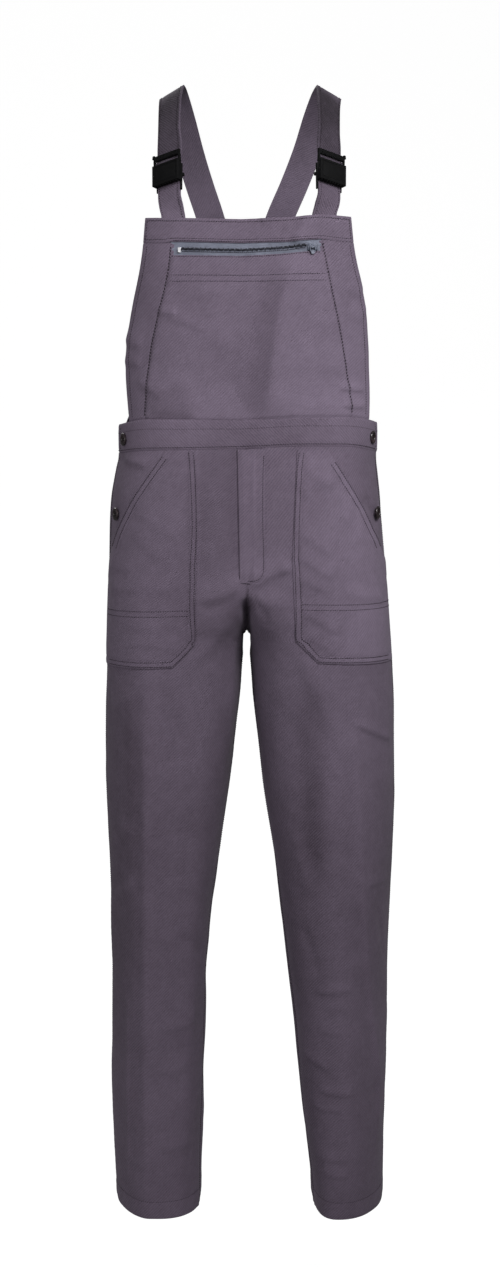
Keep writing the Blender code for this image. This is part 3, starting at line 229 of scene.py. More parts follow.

# ---- folds: kind, depth (outwards is more than 0), width, and x, z of each place on its line ----
# A lean fold falls off steeply on its lower or right-hand (-X) side and gently on the other, and the
# other way round where its line is drawn upwards. A shade has the same spread, raises nothing, and
# is painted light (more than 0) or painted shade in the cloth's colour.

FOLDS = {
    "front_right": [
        ("tent", 2.4, 10, -133, -745, -136, -920, -137, -1120, -138, -1330, -137, -1498),
        ("soft", 1.1, 4.5, -163, -1190, -163, -1300, -164, -1480),
        ("soft", 1.2, 14, -58, -790, -66, -921, -78, -1124, -83, -1330, -85, -1470),
        ("lean", 1.5, 4.5, -166, -475, -146, -480, -126, -484),
        ("lean", 1.0, 9, -142, -536, -118, -558, -82, -580),
        ("lean", 0.7, 9, -150, -562, -125, -590, -98, -604),
        ("lean", 0.8, 6, -184, -644, -140, -643, -80, -638),
        ("lean", 0.8, 7, -166, -691, -120, -690, -80, -686),
        ("lean", 0.8, 6, -160, -712, -128, -713, -90, -720),
        ("lean", 0.7, 5, -182, -615, -164, -618, -146, -620),
        ("lean", 1.2, 6, -76, -657, -48, -653, -27, -646, -8, -630),
        ("soft", -0.7, 7, -66, -668, -36, -665, -14, -650),
        ("soft", 1.0, 14, -44, -490, -46, -560, -50, -625),
        ("soft", -1.5, 8, -21, -430, -20, -500, -18, -570, -15, -636),
        ("soft", 1.0, 9, -84, -742, -60, -728, -40, -702, -22, -680),
        ("soft", 1.1, 10, -20, -690, -24, -775, -27, -870),
        ("soft", -1.2, 10, -95, -1100, -78, -1122, -62, -1138),
        ("soft", -1.0, 16, -104, -760, -100, -820, -106, -890),
        ("soft", 1.0, 12, -90, -960, -104, -1010, -98, -1060),
        ("lean", 0.8, 5, -124, -1232, -96, -1235, -70, -1226),
        ("lean", 0.7, 5, -126, -1290, -104, -1294, -84, -1288),
        ("lean", 0.8, 6, -130, -1396, -104, -1402, -78, -1395),
        ("lean", 0.9, 7, -184, -806, -166, -794, -150, -776),
        ("lean", 1.2, 8, -186, -994, -170, -980, -152, -956),
        ("soft", 1.0, 9, -184, -1068, -168, -1052, -150, -1030),
        ("shade", -0.2, 9, -158, -750, -157, -1000),
    ],
    "front_left": [
        ("lean", 2.2, 5, -1, -641, 16, -629, 36, -619, 60, -611),
        ("soft", 1.2, 12, 6, -660, 30, -659, 56, -662),
        ("soft", -1.0, 6, 2, -649, 12, -660, 22, -676, 26, -696),
        ("lean", 0.6, 10, 28, -664, 37, -708, 37, -787, 33, -880),
        ("lean", 1.5, 9, 62, -712, 79, -752, 96, -794, 114, -840, 136, -880),
        ("tent", 1.9, 7, 132, -750, 139, -867, 146, -1000, 152, -1082, 161, -1191, 171, -1273,
         175, -1329, 174, -1398, 165, -1460),
        ("soft", 1.8, 17, 86, -800, 100, -880, 106, -1015, 112, -1140, 126, -1230, 134, -1330,
         136, -1500),
        ("soft", -1.6, 12, 62, -800, 72, -880, 76, -960, 80, -1040),
        ("lean", 1.5, 3.2, 132, -815, 158, -830, 190, -850),
        ("lean", 0.8, 3.6, 154, -1038, 170, -1040, 187, -1041),
        ("soft", -1.0, 7, 168, -1058, 178, -1100, 184, -1155),
        ("lean", 0.95, 2.8, 88, -1185, 104, -1184, 120, -1181, 142, -1178),
        ("lean", 0.6, 4.2, 98, -1204, 114, -1206, 134, -1203),
        ("lean", 0.6, 4.6, 92, -1236, 112, -1240, 136, -1236),
        ("lean", 0.9, 3.0, 72, -1277, 90, -1283, 112, -1294),
        ("lean", 0.95, 2.9, 92, -1321, 116, -1325, 142, -1324),
        ("lean", 0.8, 3.2, 84, -1344, 104, -1348, 128, -1346),
        ("lean", 0.7, 4, 90, -1417, 110, -1417, 138, -1411),
        ("lean", 0.8, 3.2, 98, -1435, 116, -1439, 138, -1438),
        ("lean", 1.2, 8, 68, -482, 88, -496, 110, -514),
        ("lean", 0.9, 8, 66, -524, 84, -508, 104, -494),
        ("lean", 0.8, 6, 113, -544, 122, -550, 134, -554),
        ("lean", 1.1, 7, 66, -568, 90, -584, 112, -598),
        ("lean", 1.2, 7, 62, -596, 86, -611, 112, -628),
        ("lean", 1.2, 7, 62, -624, 82, -634, 106, -644),
        ("lean", 1.4, 7, 68, -668, 92, -682, 120, -700),
        ("lean", 1.1, 6, 74, -698, 94, -712, 114, -726),
        ("lean", 0.7, 7, 130, -572, 150, -577, 174, -586),
        ("soft", 1.0, 9, 120, -640, 145, -652, 176, -656),
        ("soft", -1.4, 8, 150, -520, 160, -540, 170, -566),
        ("soft", 1.1, 10, 60, -960, 72, -1010, 80, -1060),
        ("soft", -1.1, 9, 70, -1090, 84, -1130, 92, -1170),
        ("shade", -0.38, 12, 95, -1060, 92, -930, 89, -830, 82, -730),
    ],
    "back_left": [
        ("soft", -3.2, 9, 4, -640, 36, -664, 84, -676, 132, -668),
        ("soft", 2.2, 10, 8, -664, 46, -690, 96, -702, 140, -694),
        ("soft", -2.0, 9, 10, -692, 46, -722, 92, -736),
        ("soft", -1.8, 10, 160, -512, 122, -552, 76, -606),
        ("soft", 1.5, 11, 150, -490, 108, -530, 62, -580),
        ("soft", -1.5, 9, 40, -478, 52, -520, 58, -560),
        ("soft", -2.6, 8, 52, -985, 90, -1000, 146, -990),
        ("soft", 1.8, 9, 50, -1008, 95, -1022, 156, -1010),
        ("soft", -2.0, 8, 60, -1036, 108, -1046, 168, -1028),
        ("soft", 1.3, 10, 66, -1062, 112, -1078, 160, -1062),
        ("soft", -1.5, 10, 84, -1110, 122, -1160, 166, -1196),
        ("soft", -1.4, 12, 60, -800, 76, -860, 80, -930),
        ("soft", 1.4, 12, 126, -760, 140, -830, 146, -920),
        ("soft", -1.2, 7, 96, -1300, 130, -1312, 168, -1300),
        ("soft", -1.1, 6, 104, -1418, 134, -1428, 166, -1420),
        ("soft", 1.0, 6, 100, -1432, 134, -1442, 164, -1436),
        ("pinch", 1.5, 8, 104, -800, 117, -1000, 126, -1240, 135, -1498),
    ],
    "back_right": [
        ("soft", -3.0, 9, -10, -644, -42, -670, -92, -680, -138, -670),
        ("soft", 2.0, 10, -14, -668, -52, -696, -100, -706),
        ("soft", -1.8, 9, -16, -700, -56, -732, -112, -742),
        ("soft", -1.7, 10, -164, -520, -128, -566, -84, -616),
        ("soft", 1.4, 11, -156, -496, -112, -540, -70, -592),
        ("soft", -1.3, 9, -46, -480, -56, -528, -60, -570),
        ("soft", -2.4, 8, -56, -978, -98, -994, -152, -980),
        ("soft", 1.7, 9, -58, -1002, -100, -1016, -160, -1000),
        ("soft", -2.1, 8, -64, -1030, -110, -1042, -166, -1024),
        ("soft", 1.2, 10, -66, -1058, -108, -1070, -160, -1054),
        ("soft", -1.4, 10, -84, -1120, -120, -1160, -164, -1188),
        ("soft", -1.3, 12, -64, -810, -80, -870, -86, -940),
        ("soft", 1.3, 12, -128, -770, -142, -840, -148, -930),
        ("soft", -1.0, 7, -92, -1290, -126, -1300, -164, -1290),
        ("soft", -1.1, 6, -90, -1420, -122, -1430, -160, -1424),
        ("pinch", 1.5, 8, -108, -800, -117, -1000, -125, -1240, -125, -1498),
    ],
    "bib": [
        ("tent", 5.0, 24, 66, -190, 47, -250, 36, -299, 31, -337, 28, -374, 21, -424, 18, -450),
        ("soft", -0.5, 6, -24, -377, -9, -399, 0, -419),
        ("lean", 1.1, 3, -117, -289, -104, -289, -90, -291),
        ("lean", 1.0, 5, -112, -291, -81, -302, -50, -313),
        ("lean", 0.9, 8, -61, -250, -49, -287, -52, -342),
        ("lean", 1.4, 8, 96, -286, 99, -330, 101, -374),
        ("lean", 1.1, 6, -145, -371, -125, -385, -108, -397),
        ("lean", 1.0, 6, -130, -411, -98, -413, -62, -417),
        ("lean", 1.2, 2.6, 113, -384, 130, -386, 149, -388),
        ("lean", 1.1, 2.6, 116, -406, 134, -408, 151, -409),
        ("lean", 2.8, 6, 76, -160, 67, -185, 57, -210),
        ("lean", 1.4, 5, 12, -176, 24, -171, 36, -166),
        ("lean", 1.2, 6, -163, -319, -148, -326, -134, -331),
        ("lean", 1.1, 6, -163, -347, -150, -351, -136, -355),
        ("lean", 1.0, 6, 124, -256, 133, -262, 142, -268),
        ("lean", 1.0, 6, 124, -286, 134, -293, 146, -299),
        ("soft", 0.9, 14, -30, -250, -36, -310, -34, -350),
        ("soft", -0.8, 12, -90, -350, -70, -372, -60, -404),
        ("soft", 0.8, 14, 70, -310, 74, -350, 72, -400),
        ("shade", -0.28, 7, 13, -432, 20, -380, 26, -337, 30, -299, 40, -252, 52, -222),
        ("shade", 0.16, 30, 62, -310, 62, -460),
        ("shade", 0.30, 22, -150, -470, -150, -245),
        ("shade", 0.24, 25, 140, -260, 140, -470),
        ("shade", 0.12, 30, -70, -390, -70, -290),
        ("shade", -0.22, 14, -84, -440, -84, -378),
        ("shade", 0.16, 14, -20, -440, -20, -370),
    ],
    "yoke": [
        ("soft", -1.7, 9, -34, -250, -62, -306, -112, -372),
        ("soft", 1.4, 10, -20, -258, -44, -320, -84, -400),
        ("soft", -1.6, 9, 26, -252, 54, -308, 104, -374),
        ("soft", 1.4, 10, 12, -260, 34, -322, 76, -402),
        ("soft", -1.4, 8, -6, -262, -10, -320, -4, -400),
        ("soft", -1.2, 7, -130, -408, -80, -416, -30, -412),
        ("soft", -1.1, 7, 34, -410, 84, -416, 134, -406),
    ],
}


# ---- reading the form ----

TABLE_STEP = 2.0
TABLE_HEIGHTS = np.arange(-1620.0, -60.0, TABLE_STEP)
TABLE_SOFTNESS = 14.0
SEAM_SOFTNESS = 9.0
WAIST_XS = np.arange(-230.0, 231.0, TABLE_STEP)
WAIST_SOFTNESS = 8.0


def hill(off, width):
    """A rounded rise of height one, and how fast it dies away to both sides."""
    return np.exp(-((off / width) ** 2))


def ease(share):
    """From nothing to one, slow at both ends."""
    share = np.clip(share, 0.0, 1.0)
    return share * share * (3.0 - 2.0 * share)


def soft_weights(reach, softness, step=1.0):
    """Shares of a soft blend over so many steps to either side."""
    weights = np.exp(-0.5 * (np.arange(-reach, reach + 1) * step / softness) ** 2)
    return weights / weights.sum()


def softened_table(rows, softness=TABLE_SOFTNESS, places=TABLE_HEIGHTS):
    """A table's columns, read every few millimetres and rounded off."""
    columns = [np.array(column, float) for column in zip(*sorted(rows))]
    reach = int(3 * softness / TABLE_STEP)
    weights = soft_weights(reach, softness, TABLE_STEP)
    return [np.convolve(np.pad(np.interp(places, columns[0], column), reach, mode="edge"), weights, mode="valid")
            for column in columns[1:]]


RING_COLUMNS = {side: softened_table(rows) for side, rows in RINGS.items()}
ROUND_COLUMNS = {side: softened_table(rows) for side, rows in ROUNDNESS.items()}
SEAM_COLUMNS = softened_table(SEAMS)
BIB_COLUMNS = softened_table(BIB_ROWS, SEAM_SOFTNESS)
YOKE_COLUMN = softened_table(YOKE_ROWS, SEAM_SOFTNESS)[0]
WAIST_EDGES = dict(zip(("top", "bottom"), softened_table(WAIST_LINES, WAIST_SOFTNESS, WAIST_XS)))


def waist_line(x, edge):
    return np.interp(x, WAIST_XS, WAIST_EDGES[edge])


def read_columns(columns, z):
    return [float(np.interp(z, TABLE_HEIGHTS, column)) for column in columns]


def inner_x(side, z):
    """The leg's inner side: as drawn near the fork, and rounded off further down."""
    heights, _, inner = list(zip(*RINGS[side][::-1]))[:3]
    drawn = float(np.interp(z, heights, inner))
    soft = read_columns([RING_COLUMNS[side][1]], z)[0]
    share = min(1.0, max(0.0, (CROTCH_Z - 12.0 - z) / 30.0))
    return drawn + (soft - drawn) * share


def quarter(start, end, starts_at_side, power):
    angles = np.linspace(0.0, math.pi / 2, ARC_POINTS)
    slow = np.cos(angles).clip(0.0) ** (2 / power)
    fast = np.sin(angles) ** (2 / power)
    dx = end[0] - start[0]
    dy = end[1] - start[1]
    if starts_at_side:
        return np.column_stack((end[0] - dx * slow, start[1] + dy * fast))
    return np.column_stack((start[0] + dx * fast, end[1] - dy * slow))


def centre_seam_y(z, deep_y, fork_z):
    if z >= fork_z:
        return deep_y
    part = min(1.0, (fork_z - z) / (fork_z - CROTCH_Z))
    return deep_y * math.sqrt(1.0 - part * part)


def section(side, z):
    """The front line, inner end to side, and the back line, side to inner end."""
    outer, _, front_x, front_y, back_x, back_y = read_columns(RING_COLUMNS[side], z)
    inner_front, outer_front, outer_back, inner_back = read_columns(ROUND_COLUMNS[side], z)
    inward = CENTRE_X + math.copysign(0.05, outer)
    if z < CROTCH_Z:
        front_end = (inner_x(side, z), 0.0)
        back_end = front_end
    else:
        front_end = (inward, min(-0.2, centre_seam_y(z, front_y, FRONT_FORK_Z)))
        back_end = (inward, max(0.2, centre_seam_y(z, back_y, BACK_FORK_Z)))
    foremost = (front_x, front_y)
    rearmost = (back_x, back_y)
    front = np.vstack((quarter(front_end, foremost, True, inner_front),
                       quarter(foremost, (outer, 0.0), False, outer_front)[1:]))
    back = np.vstack((quarter((outer, 0.0), rearmost, True, outer_back),
                      quarter(rearmost, back_end, False, inner_back)[1:]))
    return front, back


def lengths_along(line):
    steps = np.linalg.norm(np.diff(line, axis=0), axis=1)
    return np.concatenate(([0.0], np.cumsum(steps)))


def read_along(places, along, rows):
    """Each column of the rows, read at places along them."""
    return np.column_stack([np.interp(places, along, column) for column in np.transpose(rows)])


def spread(line, start, end, count):
    """Evenly spaced points on a stretch of a line, and how far along they are."""
    places = np.linspace(start, end, count + 1)
    return read_along(places, lengths_along(line), line), places


def crossing(line, y, first, last):
    along = lengths_along(line)
    ys = line[first:last, 1]
    order = np.argsort(ys)
    return float(np.interp(y, ys[order], along[first:last][order]))


def even_noise(shape, softness, seed):
    """Random hills of unit height, softened by so many grid steps down and across."""
    field = np.random.RandomState(seed).normal(size=shape)
    for axis, soft in enumerate(softness):
        reach = int(3 * soft) + 1
        weights = soft_weights(reach, soft)
        pad = [(0, 0), (0, 0)]
        pad[axis] = (reach, reach)
        wide = np.pad(field, pad, mode="reflect" if shape[axis] > reach else "edge")
        field = np.apply_along_axis(lambda line: np.convolve(line, weights, mode="valid"), axis, wide)
    return field / field.std()


# ---- cloth surfaces ----

def rounded_line(points):
    """A drawn line with its corners cut off twice."""
    line = np.array(points, float)
    for _ in range(2):
        near = line[:-1] * 0.75 + line[1:] * 0.25
        far = line[:-1] * 0.25 + line[1:] * 0.75
        middle = np.stack((near, far), axis=1).reshape(-1, 2)
        line = np.vstack((line[:1], middle, line[-1:]))
    return line


GENTLE_SIDE = 3.2         # of a lean fold's steep width
TENT_GENTLE_SIDE = 2.4
TENT_ROUNDING = 2.0
FOLD_STRENGTH = 1.6


def fold_height(across, heights, kind, depth, width, line, mirrored):
    """How far one fold lifts each place of a grid."""
    nearest = np.full(across.shape, 1e9)
    share = np.zeros(across.shape)
    side = np.zeros(across.shape)
    lengths = lengths_along(line)
    for index in range(len(line) - 1):
        start = line[index]
        step = line[index + 1] - start
        reach = max(1e-6, float(step @ step))
        part = np.clip(((across - start[0]) * step[0] + (heights - start[1]) * step[1]) / reach, 0.0, 1.0)
        off_across = across - start[0] - part * step[0]
        off_up = heights - start[1] - part * step[1]
        off = np.hypot(off_across, off_up)
        closer = off < nearest
        nearest = np.where(closer, off, nearest)
        side = np.where(closer, step[0] * off_up - step[1] * off_across, side)
        place = (lengths[index] + part * math.sqrt(reach)) / lengths[-1]
        share = np.where(closer, place, share)
    fade = ease(share / 0.22) * ease((1.0 - share) / 0.22)
    depth = depth * FOLD_STRENGTH
    if kind == "pinch":
        fade = ease(share / 0.08) * ease((1.0 - share) / 0.03 + 0.4)
        return depth * fade * np.exp(-nearest / width)
    gentle = side < 0.0 if mirrored else side > 0.0
    if kind == "tent":
        down = 1.0 - nearest / width
        steep_side = (down + np.sqrt(down * down + 0.02)) / 2.0
        gentle_side = np.exp(-(np.hypot(nearest, TENT_ROUNDING) - TENT_ROUNDING) / (width * TENT_GENTLE_SIDE))
        return depth * fade * np.where(gentle, gentle_side, steep_side)
    if kind == "lean":
        width = np.where(gentle, width * GENTLE_SIDE, width)
    return depth * fade * hill(nearest, width)


UPRIGHT = np.array((0.0, 0.0, 1.0))


def outward_normals(points, core):
    """Unit normals of a grid, away from its core."""
    normals = np.cross(np.gradient(points, axis=1), np.gradient(points, axis=0))
    normals /= np.maximum(np.linalg.norm(normals, axis=2, keepdims=True), 1e-9)
    return normals if np.sum(normals * (points - core)) >= 0.0 else -normals


class Surface:
    """A fine grid of places on the cloth. across runs along a row and height is the drawn height.

    A leg panel's rows are split at its foremost or rearmost point, and its places can lie higher or
    lower than drawn.
    """

    def __init__(self, heights, across, points, split=0, core_x=0.0):
        self.heights = heights
        self.across = across
        self.split = split
        self.points = points
        self.normals = outward_normals(points, points * UPRIGHT + (core_x, 0.0, 0.0))

    def row_at(self, z):
        """The row at a drawn height, with a share of the next one."""
        return np.clip((self.heights[0] - z) / (self.heights[0] - self.heights[1]), 0, len(self.heights) - 1)

    def across_of_x(self, x, z):
        row = int(round(self.row_at(z)))
        xs = self.points[row, :, 0]
        if xs[-1] < xs[0]:
            xs = -xs
            x = -x
        return float(np.interp(x, np.maximum.accumulate(xs), self.across[row]))

    def on_line(self, line):
        """A line drawn as x and z, as distances across and heights."""
        return np.array([(self.across_of_x(x, z), z) for x, z in line])

    def shape(self, folds, noise, seed, window):
        """Raise the folds, paint their light and shade into the colour, and add uneven hills, all of them where
        the window lets them.
        """
        lift = np.zeros(self.across.shape)
        shade = np.zeros(self.across.shape)
        mirrored = self.points[0, -1, 0] < self.points[0, 0, 0]
        for kind, depth, width, *line in folds:
            path = self.on_line(rounded_line(np.reshape(line, (-1, 2))))
            form = "lean" if kind == "shade" else kind
            rise = fold_height(self.across, self.points[:, :, 2], form, depth, width, path, mirrored)
            if kind == "shade":
                shade += rise / FOLD_STRENGTH
            else:
                lift += rise
        # fold crests paler with wear, troughs darker as painted shade, plus the painted light and shade of the
        # shade folds
        self.wear_and_shade = (np.clip(lift * 0.03, -0.14, 0.12) + shade) * window
        down = abs(self.heights[0] - self.heights[1])
        side = float(np.mean(np.abs(np.diff(self.across, axis=1))))
        for amount, softness in noise:
            lift += amount * even_noise(lift.shape, (softness * 1.3 / down, softness / side), seed)
            seed += 1
        lift *= window
        self.points = self.points + self.normals * lift[:, :, None]
        self.normals = outward_normals(self.points, self.points - self.normals)

    def wear_and_shade_at(self, across, z):
        """How rubbed the cloth is, with its painted light and shade, at arrays of distances across and heights."""
        return self.read(self.wear_and_shade[:, :, None], across, z)[..., 0]

    def at(self, across, z, lift=0.0):
        """Places and normals for arrays of distances across and heights."""
        drawn = z
        for _ in range(2 if self.split else 0):
            drawn = drawn + (z - self.read(self.points, across, drawn)[..., 2])
        points = self.read(self.points, across, drawn)
        normals = self.read(self.normals, across, drawn)
        normals = normals / np.linalg.norm(normals, axis=-1, keepdims=True)
        return points + normals * np.asarray(lift)[..., None], normals

    def read(self, field, across, drawn):
        """What a field of the grid holds between its rows and columns."""
        row = np.minimum(self.row_at(drawn), len(self.heights) - 1.001)
        upper = row.astype(int)
        part = (row - upper)[..., None]
        return self.in_row(field, across, upper) * (1 - part) + self.in_row(field, across, upper + 1) * part

    def in_row(self, field, across, row):
        last = self.across.shape[1] - 1
        first_part = self.across[row, 0]
        last_part = self.across[row, last]
        if self.split:
            left = self.split * (1.0 - across / np.minimum(first_part, -1e-6))
            right = self.split + (last - self.split) * across / np.maximum(last_part, 1e-6)
            column = np.where(across < 0.0, left, right)
        else:
            column = (across - first_part) / (last_part - first_part) * last
        column = np.clip(column, 0.0, last - 0.001)
        near = column.astype(int)
        part = (column - near)[..., None]
        return field[row, near] * (1 - part) + field[row, near + 1] * part


def trouser_surface(side, face):
    """One leg panel's surface, across measured from its foremost or rearmost point."""
    heights = np.linspace(PANEL_TOP, HEM_Z, int(round((PANEL_TOP - HEM_Z) / ROW)) + 1)
    rows = []
    acrosses = []
    for z in heights:
        front, back = section(side, z)
        side_y, inseam_y = read_columns(SEAM_COLUMNS, z)
        inseam_y = min(0.0, inseam_y) * min(1.0, max(0.0, (CROTCH_Z - z) / INSEAM_TURN))
        side_cut = crossing(front, side_y, ARC_POINTS, len(front))
        start = 0.0
        if face == "front":
            line = front
            if z < CROTCH_Z:
                start = crossing(line, inseam_y, 0, ARC_POINTS) + SEAM_GAP
            middle = lengths_along(line)[ARC_POINTS - 1]
            end = side_cut - SEAM_GAP
        else:
            under = spread(front, side_cut + SEAM_GAP, lengths_along(front)[-1], WRAP_COLUMNS)[0]
            line = np.vstack((under, back[1:]))
            middle = lengths_along(line)[len(under) - 1 + ARC_POINTS - 1]
            if z < CROTCH_Z and inseam_y < -0.3:
                wrap = crossing(front, inseam_y, 0, ARC_POINTS) - SEAM_GAP
                line = np.vstack((line, spread(front, 0.0, wrap, WRAP_COLUMNS)[0][1:]))
            line = line[::-1]
            end = lengths_along(line)[-1]
            middle = end - middle
        inner, inner_places = spread(line, start, middle, INNER_COLUMNS)
        outer, outer_places = spread(line, middle, end, OUTER_COLUMNS)
        points = np.vstack((inner, outer[1:]))
        fade = ease((z - WAIST_FADE_Z) / (PANEL_TOP - WAIST_FADE_Z))
        lifted = z + (waist_line(points[:, 0], "bottom") + PANEL_RISE - PANEL_TOP) * fade
        rows.append(np.column_stack((points, lifted)))
        acrosses.append(np.concatenate((inner_places, outer_places[1:])) - middle)
    points = np.array(rows)
    acrosses = np.array(acrosses)
    part_legs(points, heights[:, None], acrosses - acrosses[:, :1], side, face)
    return Surface(heights, acrosses, points, INNER_COLUMNS, CORE_X[side])


FORK_EASE = 12.0          # how softly the form turns from the seat into the legs
FORK_REACH = 40.0
GROOVE_TOP = -650.0
GROOVE_FOOT = -742.0
GROOVE_SINK = 22.0
GROOVE_PART = 5.0


def part_legs(points, heights, inner, side, face):
    """Round off the turn at the fork, and let the two legs stand a little apart below the fly."""
    reach = int(3 * FORK_EASE / ROW)
    padded = np.pad(points[:, :, :2], ((reach, reach), (0, 0), (0, 0)), mode="edge")
    eased = sum(weight * padded[index:index + len(points)]
                for index, weight in enumerate(soft_weights(reach, FORK_EASE, ROW)))
    near_fork = hill(heights - CROTCH_Z, FORK_REACH) * ease((inner - 1.0) / 12.0)
    points[:, :, :2] += (eased - points[:, :, :2]) * near_fork[:, :, None]
    below = ease((CROTCH_Z + 1.0 - heights) / 4.0)
    opened = ease((GROOVE_TOP - heights) / 18.0) if face == "front" else below
    off_seam = below + (1.0 - below) * (1.0 - hill(inner, 3.0))
    apart = GROOVE_PART * opened * off_seam * ease((heights - GROOVE_FOOT) / 24.0) * hill(inner, 26.0)
    points[:, :, 0] += apart if side == "left" else -apart
    if face == "front":
        points[:, :, 1] += GROOVE_SINK * opened * ease((heights - CROTCH_Z + 36.0) / 36.0) * hill(inner, 4.5)


def seam_distances(surface):
    """How far each place of a panel is from its inner and outer seams."""
    return surface.across - surface.across[:, :1], surface.across[:, -1:] - surface.across


def bib_lift(x, z):
    xs, lifts = zip(*BIB_WAVE)
    wave = np.interp(x, xs, lifts)
    fade = ease((z - BIB_WAVE_ENDS_Z) / (BAND_SEAM - BIB_WAVE_ENDS_Z))
    low = ease((LOW_BIB_Z - z) / (LOW_BIB_Z - BIB_BOTTOM))
    return wave * fade + (waist_line(x, "top") + GAP - BIB_BOTTOM) * low


def bib_surface():
    heights = np.linspace(-158.0, -430.0, 125)
    xs = np.linspace(-168.0, 166.0, 153)
    points = []
    for z in heights:
        right = section("right", z)[0]
        left = section("left", z)[0]
        line = np.vstack((right[::-1], left))
        order = np.argsort(line[:, 0], kind="stable")
        ys = np.interp(xs, line[order, 0], line[order, 1])
        points.append(np.column_stack((xs, ys, z + bib_lift(xs, z))))
    points = np.array(points)
    return Surface(heights, np.tile(xs, (len(heights), 1)), points)


def yoke_surface():
    heights = np.linspace(-226.0, -431.0, 84)
    count = 66
    points = []
    acrosses = []
    for z in heights:
        reach = read_columns([YOKE_COLUMN], z)[0] + 6.0
        halves = []
        for side in ("right", "left"):
            line = section(side, z)[1][::-1]
            halves.append(spread(line, 0.0, reach, count)[0])
        xy = np.vstack((halves[0][::-1], halves[1][1:]))
        fade = ease((-400.0 - z) / 25.0)
        lifted = z + (waist_line(xy[:, 0], "top") + GAP - BIB_BOTTOM) * fade
        points.append(np.column_stack((xy, lifted)))
        acrosses.append(np.linspace(-reach, reach, 2 * count + 1))
    points = np.array(points)
    return Surface(heights, np.array(acrosses), points)


WAIST_Z = -443.0
WAIST_SEAM_Y = read_columns(SEAM_COLUMNS, WAIST_Z)[0]


def band_surface(face):
    """The waistband: across runs round the waist, and the drawn height runs from 0 to -1."""
    lines = []
    for side in ("right", "left"):
        front, back = section(side, WAIST_Z)
        cut = crossing(front, WAIST_SEAM_Y, ARC_POINTS, len(front))
        if face == "front":
            lines.append(spread(front, 0.0, cut, 200)[0])
        else:
            under = spread(front, cut - UNDERLAP, lengths_along(front)[-1], 40)[0]
            lines.append(np.vstack((under, back[1:]))[::-1])
    line = np.vstack((lines[0][::-1], lines[1][1:]))
    middle = lengths_along(lines[0])[-1]
    total = lengths_along(line)[-1]
    points, places = spread(line, 0.0, total, int(total / 3.0))
    shares = np.linspace(0.0, 1.0, 21)
    top = waist_line(points[:, 0], "top")
    bottom = waist_line(points[:, 0], "bottom")
    grid = np.array([np.column_stack((points, top + (bottom - top) * share)) for share in shares])
    return Surface(-shares, np.tile(places - middle, (len(shares), 1)), grid)


# ---- dyes and finishes ----

def dye(red, green, blue):
    """A colour as the eye sees it, 0 to 255, turned into light."""
    values = [channel / 255.0 for channel in (red, green, blue)]
    return [value / 12.92 if value <= 0.04045 else ((value + 0.055) / 1.055) ** 2.4 for value in values] + [1.0]


class Nodes:
    """Short words for laying out shader nodes."""

    def __init__(self, tree):
        self.tree = tree

    def add(self, kind, inputs=(), **settings):
        """A node with its settings, then what feeds its inputs: a socket or a value for each."""
        node = self.tree.nodes.new(kind)
        for key, value in settings.items():
            setattr(node, key, value)
        for key, value in dict(inputs).items():
            if isinstance(value, bpy.types.NodeSocket):
                self.join(value, node.inputs[key])
            else:
                node.inputs[key].default_value = value
        return node

    def join(self, source, target):
        self.tree.links.new(source, target)

    def sum(self, operation, *values):
        return self.add("ShaderNodeMath", enumerate(values), operation=operation).outputs[0]

    def plus(self, *values):
        return self.sum("ADD", *values)

    def times(self, *values):
        return self.sum("MULTIPLY", *values)

    def noise(self, place, scale, detail, roughness):
        return self.add("ShaderNodeTexNoise", {"Vector": place, "Scale": scale, "Detail": detail,
                                               "Roughness": roughness}).outputs["Fac"]

    def span(self, value, low, high, to_low=0.0, to_high=1.0, change="SMOOTHSTEP"):
        return self.add("ShaderNodeMapRange", {"Value": value, "From Min": low, "From Max": high, "To Min": to_low,
                                               "To Max": to_high}, interpolation_type=change).outputs["Result"]

    def blend(self, share, first, second):
        return self.add("ShaderNodeMix", {0: share, 6: first, 7: second}, data_type="RGBA").outputs[2]

    def group(self, tree, **values):
        return self.add("ShaderNodeGroup", values, node_tree=tree).outputs

    def place(self):
        return self.add("ShaderNodeTexCoord").outputs["Object"]

    def laid_flat(self):
        return self.add("ShaderNodeUVMap", uv_map="cloth").outputs["UV"]


def new_group(name, inputs, outputs):
    """An empty node group; only a place is a vector, and every other input and output is a number."""
    tree = bpy.data.node_groups.new(name, "ShaderNodeTree")
    for way, labels in (("INPUT", inputs), ("OUTPUT", outputs)):
        for label in labels:
            kind = "NodeSocketVector" if label == "Place" else "NodeSocketFloat"
            tree.interface.new_socket(label, in_out=way, socket_type=kind)
    nodes = Nodes(tree)
    return tree, nodes, nodes.add("NodeGroupInput").outputs, nodes.add("NodeGroupOutput").inputs


DIAGONAL = 0.7071
CROSS_YARN = 0.0011


def twill_group():
    """Diagonal yarn lines with uneven thickness, and the short cross yarns between them."""
    tree, nodes, given, result = new_group("twill_weave", ("Place", "Pitch", "Lean"), ("Height", "Streak"))
    apart = nodes.add("ShaderNodeSeparateXYZ", {0: given["Place"]}).outputs
    leaned = nodes.times(apart[0], given["Lean"])
    over = nodes.times(nodes.sum("SUBTRACT", leaned, apart[1]), DIAGONAL)
    along = nodes.times(nodes.plus(leaned, apart[1]), DIAGONAL)
    stretched = nodes.add("ShaderNodeCombineXYZ", {0: over, 1: nodes.times(along, 0.17)}).outputs[0]
    wander = nodes.noise(stretched, 150.0, 2.0, 0.5)
    turns = nodes.sum("DIVIDE", over, given["Pitch"])
    bent = nodes.plus(turns, nodes.times(wander, 0.5))
    ridge = nodes.sum("SINE", nodes.times(bent, math.tau))
    yarn = nodes.sum("SINE", nodes.times(along, math.tau / CROSS_YARN))
    height = nodes.plus(nodes.times(ridge, 0.38), nodes.times(yarn, 0.12))
    nodes.join(nodes.plus(height, 0.5), result["Height"])
    nodes.join(nodes.span(nodes.noise(stretched, 620.0, 2.0, 0.6), 0.28, 0.72), result["Streak"])
    return tree


